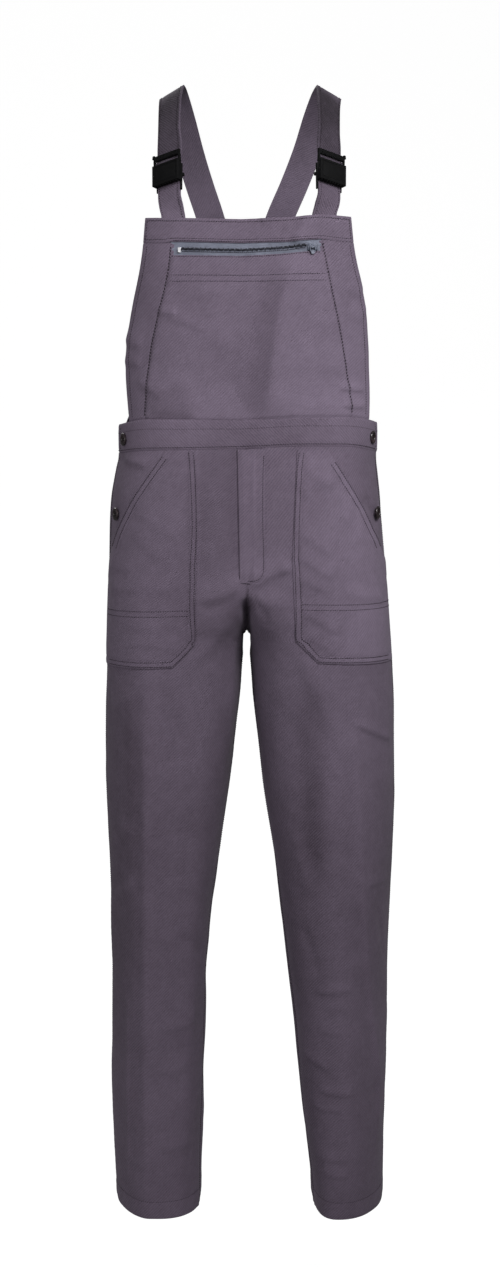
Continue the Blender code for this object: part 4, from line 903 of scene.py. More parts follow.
def fading_group():
    """Cloudy, uneven dye at the size of a hand, of a thumb and of a yarn."""
    tree, nodes, given, result = new_group("uneven_dye", ("Place",), ("Cloud", "Mottle", "Speck"))
    for name, scale, detail, roughness, low, high in (("Cloud", 7.0, 3.0, 0.55, 0.32, 0.68),
                                                      ("Mottle", 60.0, 3.0, 0.6, 0.3, 0.7),
                                                      ("Speck", 620.0, 2.0, 0.6, 0.3, 0.7)):
        nodes.join(nodes.span(nodes.noise(given["Place"], scale, detail, roughness), low, high), result[name])
    return tree


def grain_group():
    """The fine dulled skin of moulded plastic and worn metal."""
    tree, nodes, given, result = new_group("fine_grain", ("Place", "Scale"), ("Height", "Scuff"))
    nodes.join(nodes.noise(given["Place"], given["Scale"], 3.0, 0.6), result["Height"])
    coarse = nodes.times(given["Scale"], 0.14)
    nodes.join(nodes.span(nodes.noise(given["Place"], coarse, 4.0, 0.65), 0.42, 0.7), result["Scuff"])
    return tree


TWILL = twill_group()
DYE = fading_group()
GRAIN = grain_group()


def new_finish(name, uniform):
    """A new material, its nodes, and its shader's sockets with the values that are the same all over."""
    material = bpy.data.materials.new(name)
    material.use_nodes = True
    shader = material.node_tree.nodes["Principled BSDF"].inputs
    for key, value in uniform.items():
        shader[key].default_value = value
    return material, Nodes(material.node_tree), shader


def lay_finish(nodes, shader, colour, roughness, height, depth, strength=0.5):
    """Give the shader the colour, roughness and relief that change over the surface."""
    nodes.join(colour, shader["Base Color"])
    nodes.join(roughness, shader["Roughness"])
    bump = nodes.add("ShaderNodeBump", {"Distance": depth, "Strength": strength, "Height": height})
    nodes.join(bump.outputs["Normal"], shader["Normal"])


CLOTH_SHARES = (("Height", 0.25), ("Streak", 0.09), ("Cloud", 0.09), ("Mottle", 0.07), ("Speck", 0.13))
CLOTH_PITCH = 0.0029


def cloth_finish(name, lean, light, dark):
    """Brushed twill: diagonal lines, streaky yarns, cloudy dye, and the wear along folds and edges together with
    painted light and shade.
    """
    material, nodes, shader = new_finish(name, {"Sheen Weight": 0.06, "Sheen Roughness": 0.5,
                                                "Specular IOR Level": 0.2})
    uv = nodes.laid_flat()
    place = nodes.place()
    wear_and_shade = nodes.add("ShaderNodeAttribute", attribute_name="wear_and_shade").outputs["Fac"]
    weave = nodes.group(TWILL, Place=uv, Pitch=CLOTH_PITCH, Lean=lean)
    cloud = nodes.group(DYE, Place=place)
    # the attribute lightens or darkens the colour: rubbed wear, and painted light and shade
    tone = nodes.plus(nodes.times(wear_and_shade, 0.5), 0.5 - sum(share for _, share in CLOTH_SHARES) / 2)
    for part, share in CLOTH_SHARES:
        source = weave if part in ("Height", "Streak") else cloud
        tone = nodes.plus(tone, nodes.times(source[part], share))
    colour = nodes.blend(nodes.span(tone, 0.0, 1.0, change="LINEAR"), dark, light)
    roughness = nodes.span(weave["Streak"], 0.0, 1.0, 0.94, 0.80)
    height = nodes.plus(weave["Height"], nodes.times(cloud["Speck"], 0.5))
    lay_finish(nodes, shader, colour, roughness, height, 0.0004)
    return material


def thread_finish(name, light, dark):
    material, nodes, shader = new_finish(name, {"Specular IOR Level": 0.3})
    twist = nodes.noise(nodes.place(), 1500.0, 2.0, 0.5)
    colour = nodes.blend(nodes.span(twist, 0.35, 0.65), dark, light)
    lay_finish(nodes, shader, colour, nodes.span(twist, 0.2, 0.8, 0.9, 0.7), twist, 0.0002)
    return material


def tape_finish(name, light, dark):
    """Woven zip tape: fine ribs that run along the tape, with a herringbone lean."""
    material, nodes, shader = new_finish(name, {"Sheen Weight": 0.15})
    uv = nodes.laid_flat()
    place = nodes.place()
    weave = nodes.group(TWILL, Place=uv, Pitch=0.0011, Lean=1.0)
    cloud = nodes.group(DYE, Place=place)
    tone = nodes.plus(nodes.times(weave["Height"], 0.6), nodes.times(cloud["Mottle"], 0.4))
    colour = nodes.blend(nodes.span(tone, 0.1, 0.9), dark, light)
    lay_finish(nodes, shader, colour, nodes.span(weave["Streak"], 0.0, 1.0, 0.85, 0.7), weave["Height"], 0.0002)
    return material


def hard_finish(name, light, dark, metallic, rough_low, rough_high, scale, depth=0.0001, gleam=0.5):
    """Moulded plastic or cast metal with a fine grain and dull scuffs."""
    material, nodes, shader = new_finish(name, {"Metallic": metallic, "Specular IOR Level": gleam})
    grain = nodes.group(GRAIN, Place=nodes.place(), Scale=scale)
    colour = nodes.blend(grain["Scuff"], dark, light)
    roughness = nodes.span(grain["Scuff"], 0.0, 1.0, rough_low, rough_high)
    lay_finish(nodes, shader, colour, roughness, grain["Height"], depth, 0.4)
    return material


CLOTH_LIGHT = dye(139, 125, 145)
CLOTH_DARK = dye(66, 56, 67)
FINISHES = {
    "twill": cloth_finish("purple_grey_twill", 1.0, CLOTH_LIGHT, CLOTH_DARK),
    # a darker copy of the twill, for the painted shade on the straps
    "strap_twill": cloth_finish("purple_grey_twill_shaded", 1.0, dye(116, 104, 121), dye(42, 36, 43)),
    "band_twill": cloth_finish("purple_grey_twill_crosswise", -1.0, CLOTH_LIGHT, CLOTH_DARK),
    # the threads are darker than the cloth: partly the thread's colour, partly painted shade of the stitch holes
    "thread": thread_finish("sewing_thread", dye(58, 49, 59), dye(34, 28, 34)),
    "shaded_thread": thread_finish("seam_thread_painted_shade", dye(50, 42, 50), dye(24, 19, 24)),
    "tape": tape_finish("grey_zip_tape", dye(126, 130, 146), dye(92, 95, 110)),
    "coil": hard_finish("dark_zip_coil", dye(62, 62, 72), dye(34, 33, 42), 0.0, 0.35, 0.55, 900.0),
    "metal": hard_finish("dull_zip_metal", dye(132, 136, 150), dye(78, 82, 96), 0.6, 0.42, 0.6, 700.0),
    "stop": hard_finish("bright_zip_stop", dye(240, 240, 242), dye(214, 214, 218), 0.25, 0.25, 0.4, 700.0,
                        depth=0.00005),
    "buckle": hard_finish("black_buckle_plastic", dye(15, 15, 16), dye(6, 6, 7), 0.0, 0.65, 0.85, 800.0,
                          gleam=0.15),
    "button": hard_finish("brown_button_plastic", dye(58, 44, 48), dye(34, 25, 28), 0.0, 0.25, 0.5, 500.0),
}


# ---- making pieces ----

def leave_nothing_picked():
    bpy.ops.object.select_all(action="DESELECT")


def pick(piece):
    leave_nothing_picked()
    piece.select_set(True)
    bpy.context.view_layer.objects.active = piece


def apply_modifiers(piece):
    pick(piece)
    for modifier in list(piece.modifiers):
        bpy.ops.object.modifier_apply(modifier=modifier.name)


def hang(name, data):
    """A new object in the scene."""
    piece = bpy.data.objects.new(name, data)
    bpy.context.scene.collection.objects.link(piece)
    return piece


def set_as_garment(piece, finish):
    piece.data.materials.clear()
    piece.data.materials.append(FINISHES[finish])
    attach(piece, "garment")
    return piece


def sheet_mesh(name, points, across, along, wear_and_shade, handed):
    """A mesh through a grid of places (mm), with its weave laid out in metres."""
    rows, columns = points.shape[:2]
    numbers = np.arange(rows * columns).reshape(rows, columns)
    turns = (numbers[:-1, :-1], numbers[1:, :-1], numbers[1:, 1:], numbers[:-1, 1:])
    faces = np.stack(turns, axis=-1).reshape(-1, 4)
    mesh = bpy.data.meshes.new(name)
    mesh.from_pydata((points.reshape(-1, 3) * MM).tolist(), [], faces[:, ::handed].tolist())
    places = np.column_stack((across.ravel(), along.ravel())) * MM
    corners = [loop.vertex_index for loop in mesh.loops]
    mesh.uv_layers.new(name="cloth").data.foreach_set("uv", places[corners].astype(np.float32).ravel())
    worn_and_shaded = mesh.attributes.new("wear_and_shade", "FLOAT", "POINT")
    worn_and_shaded.data.foreach_set("value", np.ascontiguousarray(wear_and_shade, dtype=np.float32).ravel())
    return mesh


def handedness(points, normals):
    """+1 where the grid's own winding already faces outwards."""
    across = points[:-1, 1:] - points[:-1, :-1]
    down = points[1:, :-1] - points[:-1, :-1]
    return 1 if np.sum(np.cross(down, across) * normals[:-1, :-1]) > 0 else -1


def cloth_piece(name, points, normals, across, along, wear_and_shade, finish="twill", wall=CLOTH, offset=-1.0,
                cuts=None, shaper=None):
    """Lay cloth through a grid, trim it, shape its edges and give it its wall."""
    mesh = sheet_mesh(name, points, across, along, wear_and_shade, handedness(points, normals))
    piece = hang(name, mesh)
    if cuts:
        trim(mesh, *cuts)
    if shaper:
        shaper(mesh)
    thicken = piece.modifiers.new("wall", "SOLIDIFY")
    thicken.thickness = wall * MM
    thicken.offset = offset
    apply_modifiers(piece)
    bpy.ops.object.shade_smooth_by_angle(angle=math.radians(50))
    return set_as_garment(piece, finish)


def edges_of(line):
    return list(zip(line, line[1:]))


def cut_plane(cut, middle):
    """A plane straight back through a drawn line; the piece's middle lies behind it."""
    start, end = np.array(cut, float)
    step = (end - start) / np.hypot(*(end - start))
    normal = np.array((-step[1], step[0]))
    return start, normal if (np.array(middle) - start) @ normal <= 0.0 else -normal


def trim(mesh, outline, middle, insets):
    """Cut a sheet along straight lines, and crease it along lines a little inside them."""
    work = bmesh.new()
    work.from_mesh(mesh)
    for cut in outline:
        start, normal = cut_plane(cut, middle)
        for inset in (0.0,) + insets:
            x, z = start - normal * inset
            bmesh.ops.bisect_plane(work, geom=work.verts[:] + work.edges[:] + work.faces[:],
                                   plane_co=Vector((x, 0.0, z)) * MM, plane_no=(normal[0], 0.0, normal[1]),
                                   clear_outer=inset == 0.0)
    bmesh.ops.remove_doubles(work, verts=work.verts, dist=0.00002)
    work.to_mesh(mesh)
    work.free()


def outline_distance(xs, zs, outline, middle):
    planes = [cut_plane(cut, middle) for cut in outline]
    return np.min([(start[0] - xs) * normal[0] + (start[1] - zs) * normal[1] for start, normal in planes], axis=0)


def edge_shaper(outline, middle, hem, raised, rim_shadow=0.24):
    """Shapes a trimmed piece: its turned edge stands up a little and rolls over at the rim, and painted shadow
    darkens the rim and a line inside the hem.
    """
    def shape(mesh):
        places = np.array([vertex.co for vertex in mesh.vertices])
        normals = np.array([vertex.normal for vertex in mesh.vertices])
        off = outline_distance(places[:, 0] / MM, places[:, 2] / MM, outline, middle)
        lift = raised * ease((hem - off) / 2.0) - 0.55 * hill(off, 1.1) - 0.25 * hill(off - hem - 0.6, 1.6)
        mesh.vertices.foreach_set("co", (places + normals * (lift * MM)[:, None]).ravel())
        layer = mesh.attributes["wear_and_shade"].data
        worn_and_shaded = np.array([point.value for point in layer])
        # painted shadow along the rim and just inside the turned hem
        worn_and_shaded -= rim_shadow * hill(off, 0.9) + 0.10 * hill(off - hem - 1.0, 1.5)
        layer.foreach_set("value", worn_and_shaded.astype(np.float32))
        mesh.update()
    return shape


def declare_cloth(node):
    """Hide the CAD piece that this cloth takes the place of."""
    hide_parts(node)


# ---- stitches ----

STITCH_PITCH = 3.0
STITCH_LENGTH = 2.4
STITCH_RADIUS = 0.48
# a dash's rings: share of its half length, swell, and rise in radii
DASH_RINGS = ((-0.62, 0.8, 0.0), (0.0, 1.0, 0.15), (0.62, 0.8, 0.0))
DASH_SIDES = 4


def row_of_dashes(places, normals, pitch=STITCH_PITCH, length=STITCH_LENGTH, radius=STITCH_RADIUS, lean=0.0):
    """Dashes of thread along a line of places (mm): middle, axes, half length and radius of each."""
    along = lengths_along(places)
    count = int(along[-1] / pitch)
    if count < 1:
        return []
    centres = (np.arange(count) + 0.5) * along[-1] / count
    at = read_along(centres, along, places)
    up = read_along(centres, along, normals)
    ahead = (read_along(np.minimum(centres + 0.5, along[-1]), along, places)
             - read_along(np.maximum(centres - 0.5, 0.0), along, places))
    up /= np.linalg.norm(up, axis=1, keepdims=True)
    ahead -= up * np.sum(ahead * up, axis=1, keepdims=True)
    ahead /= np.maximum(np.linalg.norm(ahead, axis=1, keepdims=True), 1e-9)
    side = np.cross(up, ahead)
    turn = math.radians(lean)
    ahead, side = ahead * math.cos(turn) + side * math.sin(turn), side * math.cos(turn) - ahead * math.sin(turn)
    return list(zip(at, ahead, side, up, [length / 2] * count, [radius] * count))


def dash_faces():
    """The faces of one dash: a point, its rings and a point."""
    last = 1 + len(DASH_RINGS) * DASH_SIDES
    faces = []
    for index in range(DASH_SIDES):
        after = (index + 1) % DASH_SIDES
        faces.append((0, 1 + after, 1 + index))
        for low in range(1, last - DASH_SIDES, DASH_SIDES):
            faces.append((low + index, low + after, low + DASH_SIDES + after, low + DASH_SIDES + index))
        faces.append((last, last - DASH_SIDES + index, last - DASH_SIDES + after))
    return faces


def thread_piece(name, dashes, finish="thread"):
    """One mesh of many short thread dashes, each sunk into the cloth at its two ends."""
    at, ahead, side, up, half, radius = (np.array(column) for column in zip(*dashes))
    half = half[:, None]
    radius = radius[:, None]
    layers = [at - ahead * half - up * radius * 0.6]
    for place, swell, rise in DASH_RINGS:
        for index in range(DASH_SIDES):
            turn = math.tau * (index + 0.5) / DASH_SIDES
            layers.append(at + ahead * half * place + side * radius * swell * math.cos(turn)
                          + up * radius * (swell * math.sin(turn) + rise))
    layers.append(at + ahead * half - up * radius * 0.6)
    points = np.stack(layers, axis=1)
    mesh = bpy.data.meshes.new(name)
    mesh.from_pydata((points.reshape(-1, 3) * MM).tolist(), [], repeated(dash_faces(), len(dashes), len(layers)))
    check = bmesh.new()
    check.from_mesh(mesh)
    bmesh.ops.recalc_face_normals(check, faces=check.faces)
    for face in check.faces:
        face.smooth = True
    check.to_mesh(mesh)
    check.free()
    return set_as_garment(hang(name, mesh), finish)


def repeated(faces, copies, points_each):
    """The faces of so many copies of a shape, one after another."""
    return [tuple(copy * points_each + corner for corner in face) for copy in range(copies) for face in faces]


def stitches(surface, line, lift, drawn=True, **size):
    """A row of stitches on a surface, drawn as x and z, or as across and height."""
    path = surface.on_line(line) if drawn else np.array(line, float)
    lengths = lengths_along(path)
    places = np.arange(0.0, lengths[-1] + 0.01, 1.0)
    across, heights = read_along(places, lengths, path).T
    return row_of_dashes(*surface.at(across, heights, lift), **size)


def seam_row(surface, edge, inset, top, bottom, lift):
    """A row of stitches that keeps its distance from a panel's inner or outer seam."""
    heights = np.arange(top, bottom, -4.0)
    rows = surface.row_at(heights).astype(int)
    across = surface.across[rows, 0] + inset if edge == "inner" else surface.across[rows, -1] - inset
    return stitches(surface, np.column_stack((across, heights)), lift, False)


# ---- trousers ----

def leg_window(surface):
    """Folds die away towards the seams and under the waistband."""
    near = np.minimum(*seam_distances(surface))
    return ease(near / 11.0) * ease((surface.heights[0] - surface.heights)[:, None] / 14.0 + 0.15)


LEG_HILLS = ((0.6, 22.0), (0.16, 8.0))     # height of the cloth's uneven hills, and how wide they are


def make_leg_surfaces():
    surfaces = {}
    for place, name in enumerate(("front_left", "front_right", "back_left", "back_right")):
        face, side = name.split("_")
        surfaces[name] = trouser_surface(side, face)
        surfaces[name].shape(FOLDS[name], LEG_HILLS, 11 + 10 * place, leg_window(surfaces[name]))
    return surfaces


def leg_shade(side, face, heights, inner, xs):
    """Painted light and shade on the legs: darker down the shins, paler or darker along the inseam, and darker
    beside the fly.
    """
    places, right, left = zip(*LEG_SHADES[::-1])
    shade = np.interp(heights, places, left if side == "left" else right)
    if face == "back":
        return shade * BACK_SHADE
    below = ease((-690.0 - heights) / 40.0)
    if side == "left":
        return shade + 0.3 * hill(inner, 24.0) * below
    shade = shade - 0.2 * ease((xs + 68.0) / 8.0) * ease((heights + 640.0) / 40.0)
    return shade - 0.42 * hill(inner, 42.0) * below * ease((heights + 1000.0) / 160.0)


def make_leg_panels(surfaces):
    for name, surface in surfaces.items():
        face, side = name.split("_")
        inner, outer = seam_distances(surface)
        near = np.minimum(inner, outer)
        heights = surface.heights[:, None]
        xs = surface.points[:, :, 0]
        off_hem = heights - HEM_STITCH
        lift = 0.45 * hill(near - 6.0, 3.0) - 0.9 * hill(near, 1.6)
        lift += 0.22 * np.exp(-near / 7.0) * np.sin(heights * math.tau / 9.5 + 2.0 * np.sin(heights / 41.0))
        lift += 0.4 * ease(-off_hem / 3.0) - 0.5 * hill(heights - HEM_Z, 1.5) - 0.35 * hill(off_hem, 2.2)
        if face == "front":
            under = ease((FLY_LEFT_X - 1.0 - xs) / 2.0) * ease((xs - FLY_RIGHT_X + 2.0) / 2.0)
            lift -= 1.3 * under * ease((surface.points[:, :, 2] - FLY_BOTTOM_Z) / 6.0)
        wear_and_shade = surface.wear_and_shade - 0.30 * hill(near, 1.8) + 0.06 * hill(near - 5.0, 2.5) - 0.04 * hill(off_hem, 2.5)
        wear_and_shade = wear_and_shade + leg_shade(side, face, heights, inner, xs)
        points = surface.points + surface.normals * lift[:, :, None]
        closing = 0.9 * hill(inner, 1.6) * ease((heights - CROTCH_Z) / 4.0)
        points[:, :, 0] -= closing if side == "left" else -closing
        viewer_right = 1.0 if (side == "left") == (face == "front") else -1.0
        piece = cloth_piece(f"cloth_trouser_{name}", points, surface.normals, surface.across * viewer_right,
                            surface.points[:, :, 2], wear_and_shade)
        declare_cloth(f"trouser_{name}")


POCKET_LIFT = CLOTH + 0.15
POCKET_HEM = 9.0


def down_rows(heights, count):
    """Each height along its own row of a grid."""
    return np.tile(heights[:, None], (1, count))


def make_pockets(surfaces):
    for side, pocket in POCKETS.items():
        surface = surfaces[f"front_{side}"]
        heights = np.linspace(-463.0, -752.0, 126)
        far = surface.across[surface.row_at(heights).astype(int), -1] - 0.6
        low = np.array([surface.across_of_x(pocket["edge"][2][0] * 0.86, z) for z in heights])
        across = low[:, None] + (far - low)[:, None] * np.linspace(0.0, 1.0, 72)
        drawn = down_rows(heights, 72)
        points, normals = surface.at(across, drawn, POCKET_LIFT)
        points -= normals * (0.9 * hill(far[:, None] - across, 1.8))[:, :, None]
        # painted light and shade from the pocket's table, by distance from the middle of the garment
        wear_and_shade = surface.wear_and_shade_at(across, drawn) + np.interp(np.abs(points[:, :, 0]), *pocket["fade"])
        viewer_right = 1.0 if side == "left" else -1.0
        cuts = edges_of(pocket["edge"]) + edges_of(pocket["slant"])
        piece = cloth_piece(f"cloth_patch_pocket_{side}", points, normals, across * viewer_right, drawn, wear_and_shade,
                            cuts=(cuts, pocket["middle"], (1.3, POCKET_HEM, POCKET_HEM + 2.2)),
                            shaper=edge_shaper(cuts, pocket["middle"], POCKET_HEM, 0.25))
        declare_cloth(f"patch_pocket_{side}")


def inset_outline(line, middle, inset):
    """The inner corners of a drawn line moved in by a distance, and the way that its two ends run."""
    planes = [cut_plane(cut, middle) for cut in edges_of(line)]
    corners = []
    for (first, normal), (second, after) in edges_of(planes):
        corners.append(np.linalg.solve((normal, after), np.array((first @ normal, second @ after)) - inset))
    ends = [np.array(cut[1], float) - cut[0] for cut in (edges_of(line)[0], edges_of(line)[-1])]
    return corners, [end / np.hypot(*end) for end in ends]


def pocket_dashes(surfaces):
    """Two rows along the inner and lower edge, two along the slanted opening, and two straight across."""
    dashes = []
    for side, pocket in POCKETS.items():
        surface = surfaces[f"front_{side}"]
        edge = pocket["edge"]
        for inset in (2.2, POCKET_HEM - 1.0):
            corners, _ = inset_outline(edge, pocket["middle"], inset)
            top = (corners[0][0] + edge[0][0] - edge[1][0], -466.0)
            end = (math.copysign(183.0, edge[0][0]), corners[-1][1] + (edge[-1][1] - edge[-2][1]) * 0.85)
            dashes += stitches(surface, [top] + corners + [end], POCKET_LIFT + 0.55)
            corners, (first, last) = inset_outline(pocket["slant"], pocket["middle"], inset)
            top = corners[0] + first * max(-70.0, (-468.0 - corners[0][1]) / first[1])
            dashes += stitches(surface, [top] + corners + [corners[-1] + last * 24.0], POCKET_LIFT + 0.55)
    for side, pocket in POCKETS.items():
        for row in pocket["rows"]:
            dashes += stitches(surfaces[f"front_{side}"], row, POCKET_LIFT + 0.1)
    return dashes


FLY_EDGE = 0.8            # how far the flap's open edge stands proud
FLY_RIDGE_X = 6.5


def make_fly(surfaces):
    """The fly's flap: its right edge lies open, and its left and lower edges run out into the panel."""
    heights = np.linspace(PANEL_TOP - 0.6, FLY_BOTTOM_Z - 1.0, 84)
    xs = np.linspace(FLY_RIGHT_X, FLY_LEFT_X, 30)
    points = np.empty((len(heights), len(xs), 3))
    normals = np.empty(points.shape)
    fade = 0.25 + 0.75 * ease((heights - FLY_BOTTOM_Z - 1.0) / 14.0)
    for index, x in enumerate(xs):
        surface = surfaces["front_left" if x > CENTRE_X else "front_right"]
        across = np.array([surface.across_of_x(x, z) for z in heights])
        lift = FLY_EDGE * ease((6.0 - x) / 18.0) + 0.5 * ease((FLY_LEFT_X - x) / 5.0)
        lift += 1.1 * math.exp(-abs(x - FLY_RIDGE_X) / 2.6)
        points[:, index], normals[:, index] = surface.at(across, heights, 0.12 + lift * fade)
    cuts = [((FLY_RIGHT_X + 0.05, -460.0), (-11.5, -632.0))]
    cuts += edges_of(fly_corner(FLY_CORNER, 5))
    cuts.append(((FLY_LEFT_X - 0.05, -460.0), (FLY_LEFT_X - 0.05, -600.0)))
    cuts.append(((-20.0, FLY_BOTTOM_Z), (10.0, FLY_BOTTOM_Z)))
    # painted highlight along the flap's ridge, fading downwards; the flap a little paler all over
    upper = ease((heights + 610.0) / 110.0)[:, None]
    wear_and_shade = 0.08 + 0.2 * hill(xs - FLY_RIDGE_X, 2.4)[None, :] * upper
    middle = (2.0, -600.0)
    across = np.tile(xs, (len(heights), 1))
    piece = cloth_piece("cloth_fly_flap", points, normals, across, down_rows(heights, len(xs)), wear_and_shade,
                        cuts=(cuts, middle, ()), shaper=edge_shaper(cuts[:1], middle, 3.0, 0.1, 0.1))
    declare_cloth("fly_flap")


def fly_corner(radius, count):
    """The flap's rounded corner from its left edge to its foot, as x and z."""
    x = FLY_LEFT_X - FLY_CORNER
    z = FLY_BOTTOM_Z + FLY_CORNER
    turns = np.linspace(0.0, math.pi / 2, count)
    return [(x + radius * math.cos(turn), z - radius * math.sin(turn)) for turn in turns]


def fly_dashes(surfaces):
    left = surfaces["front_left"]
    line = [(FLY_LEFT_X - FLY_STITCH, -470.0)] + fly_corner(FLY_CORNER - FLY_STITCH, 9)
    line.append((CENTRE_X + 1.0, FLY_BOTTOM_Z + FLY_STITCH))
    dashes = stitches(left, line, 0.45, pitch=2.6, length=2.4, radius=0.55)
    dashes += stitches(surfaces["front_right"], [(-11.0, -633.5), (-4.0, -634.0)], 0.5, pitch=1.3, length=1.6)
    dashes += stitches(left, [(-2.0, -634.0), (2.0, -634.5)], 0.5, pitch=1.3, length=1.6)
    for x in (CENTRE_X + 2.4, CENTRE_X + 7.5):
        dashes += stitches(left, [(x, -640.0), (x, -658.0)], 0.2, radius=0.32)
    return dashes


def leg_dashes(surfaces):
    dashes = []
    for side in ("left", "right"):
        back = surfaces[f"back_{side}"]
        front = surfaces[f"front_{side}"]
        for inset in (3.0, 9.0):
            dashes += seam_row(back, "outer", inset, -474.0, -1497.0, 0.2)
        dashes += seam_row(front, "inner", 3.0, -730.0, -1497.0, 0.5)
        for surface in (front, back):
            places = np.linspace(surface.across[-8, 0] + 1.0, surface.across[-8, -1] - 1.0, 12)
            dashes += stitches(surface, [(place, HEM_STITCH) for place in places], 0.0, False, radius=0.32)
    for inset in (3.0, 9.0):
        dashes += seam_row(surfaces["back_left"], "inner", inset, -474.0, -690.0, 0.5)
    return dashes


# ---- waistband ----

WAISTBAND_DEPTH = 38.0


def make_waistband(bands):
    for face, surface in bands.items():
        shares = -surface.heights[:, None]
        edge = np.minimum(shares, 1.0 - shares) * WAISTBAND_DEPTH
        lift = WAISTBAND_PROUD - hill(edge, 1.3) + 0.35 * ease(edge / 12.0)
        lift = lift - 0.3 * hill(shares * WAISTBAND_DEPTH - 34.2, 1.6)
        # paler than the panels, with painted shade darkening the rolled edges
        wear_and_shade = 0.2 - 0.25 * hill(edge, 1.2)
        if face == "back":
            behind = (surface.points[:, :, 1] - WAIST_SEAM_Y) / UNDERLAP_FADE
            lift = lift - (UNDERLAP_SINK + 0.3) * (1.0 - np.clip(behind, 0.0, 1.0))
            wear_and_shade = wear_and_shade + np.zeros(lift.shape)
        else:
            ends = np.minimum(*seam_distances(surface))
            lift = lift - 0.8 * hill(ends, 1.3)
            # painted shade at the front's two ends; darker across the middle of the front
            wear_and_shade = wear_and_shade - 0.3 * hill(surface.points[:, :, 0] - 5.0, 95.0) - 0.3 * hill(ends, 5.0)
        points = surface.points + surface.normals * lift[:, :, None]
        viewer_right = 1.0 if face == "front" else -1.0
        piece = cloth_piece(f"cloth_waistband_{face}", points, surface.normals, surface.across * viewer_right,
                            surface.points[:, :, 2], wear_and_shade, "band_twill", WAISTBAND_WALL)
        declare_cloth(f"waistband_{face}")


def band_dashes(bands):
    dashes = []
    for face, surface in bands.items():
        inset = 3.0 if face == "front" else UNDERLAP + 6.0
        first = surface.across[0, 0] + inset
        last = surface.across[0, -1] - inset
        for share, proud in ((0.31, 0.12), (0.90, 0.2)):
            places = np.arange(first, last, 1.0)
            dashes += row_of_dashes(*surface.at(places, np.full(len(places), -share), WAISTBAND_PROUD + proud))
        if face == "front":
            for end in (first, last):
                heights = -np.linspace(0.14, 0.86, 30)
                dashes += row_of_dashes(*surface.at(np.full(30, end), heights, WAISTBAND_PROUD + 0.35))
    return dashes


# ---- bib and yoke ----

def bib_edges(z):
    return read_columns(BIB_COLUMNS, z)


def bib_panel(surface, name, top, bottom, edges, columns, rows, shape_lift):
    """One panel between two of the bib's lines; each edge is a line's number and how far off it lies."""
    heights = np.linspace(top, bottom, rows)
    limits = np.array([[bib_edges(z)[line] + off for line, off in edges] for z in heights])
    across = limits[:, :1] + (limits[:, 1:] - limits[:, :1]) * np.linspace(0.0, 1.0, columns)
    drawn = down_rows(heights, columns)
    lift, wear_and_shade = shape_lift(across - limits[:, :1], limits[:, 1:] - across, top - drawn, drawn - bottom)
    if name == "bib_centre":
        drawn = drawn + sway(LOWER_SWAY, across) * hill(top - drawn, 14.0)
    if name == "bib_top_band":
        drawn = drawn + sway(UPPER_SWAY, across) * hill(drawn - bottom, 12.0)
    points, normals = surface.at(across, drawn, lift)
    wear_and_shade = wear_and_shade + surface.wear_and_shade_at(across, drawn)
    # painted light: paler low on the bib, and more so towards the right (+X)
    wear_and_shade = wear_and_shade + (0.12 + 0.1 * ease((across - 20.0) / 50.0)) * ease((-360.0 - drawn) / 40.0)
    piece = cloth_piece(f"cloth_{name}", points, normals, across, drawn, wear_and_shade)
    declare_cloth(name)


def sway(curve, xs):
    places, rises = zip(*curve)
    return np.interp(xs, places, rises)


def rolled(off, depth=0.7, width=1.2):
    return -depth * hill(off, width)


UNDER = 4.0               # how far one layer's edge reaches under the next


def behind_band(bottom):
    """The bib's foot goes down behind the waistband."""
    return 1.6 * ease((UNDER + 1.2 - bottom) / 2.4)


def make_bib(surface):
    # each returns a lift and painted shade: darker along the rolled edges, and where the next layer's edge lies
    # over the panel
    def centre_lift(right, left, top, bottom):
        side = np.minimum(right, left)
        lift = rolled(side, 0.9, 1.5) + rolled(top, 0.5) + 0.4 * hill(side - 6.0, 3.0)
        lift += 0.12 * np.exp(-side / 9.0) * np.sin(top * math.tau / 8.0) - behind_band(bottom)
        return lift, -0.2 * hill(side, 1.6) - 0.2 * hill(top, 1.5)

    def right_lift(right, left, top, bottom):
        lift = rolled(right, 0.6) - 1.6 * ease((UNDER + 0.9 - left) / 2.2)
        lift -= 1.6 * ease((UNDER + 0.9 - top) / 2.2)
        return lift - behind_band(bottom), -0.2 * hill(left - UNDER, 1.6) - 0.3 * hill(top - UNDER, 1.5)

    def left_lift(right, left, top, bottom):
        return right_lift(left, right, top, bottom)

    def band_lift(right, left, top, bottom):
        edge = np.minimum(top, bottom)
        lift = 0.25 + rolled(np.minimum(right, left), 0.6) + rolled(edge, 0.7, 1.3) - 0.25 * hill(edge - 4.0, 1.6)
        return lift, -0.3 * hill(bottom, 1.2)

    foot = BIB_BOTTOM - UNDER
    head = BAND_SEAM + UNDER
    bib_panel(surface, "bib_centre", POCKET_TOP, foot, ((1, 0.1), (2, -0.1)), 105, 95, centre_lift)
    bib_panel(surface, "bib_side_right", head, foot, ((0, 0.0), (1, UNDER)), 21, 96, right_lift)
    bib_panel(surface, "bib_side_left", head, foot, ((2, -UNDER), (3, 0.0)), 21, 96, left_lift)
    bib_panel(surface, "bib_top_band", BIB_TOP, BAND_SEAM, ((0, 0.0), (3, 0.0)), 110, 17, band_lift)


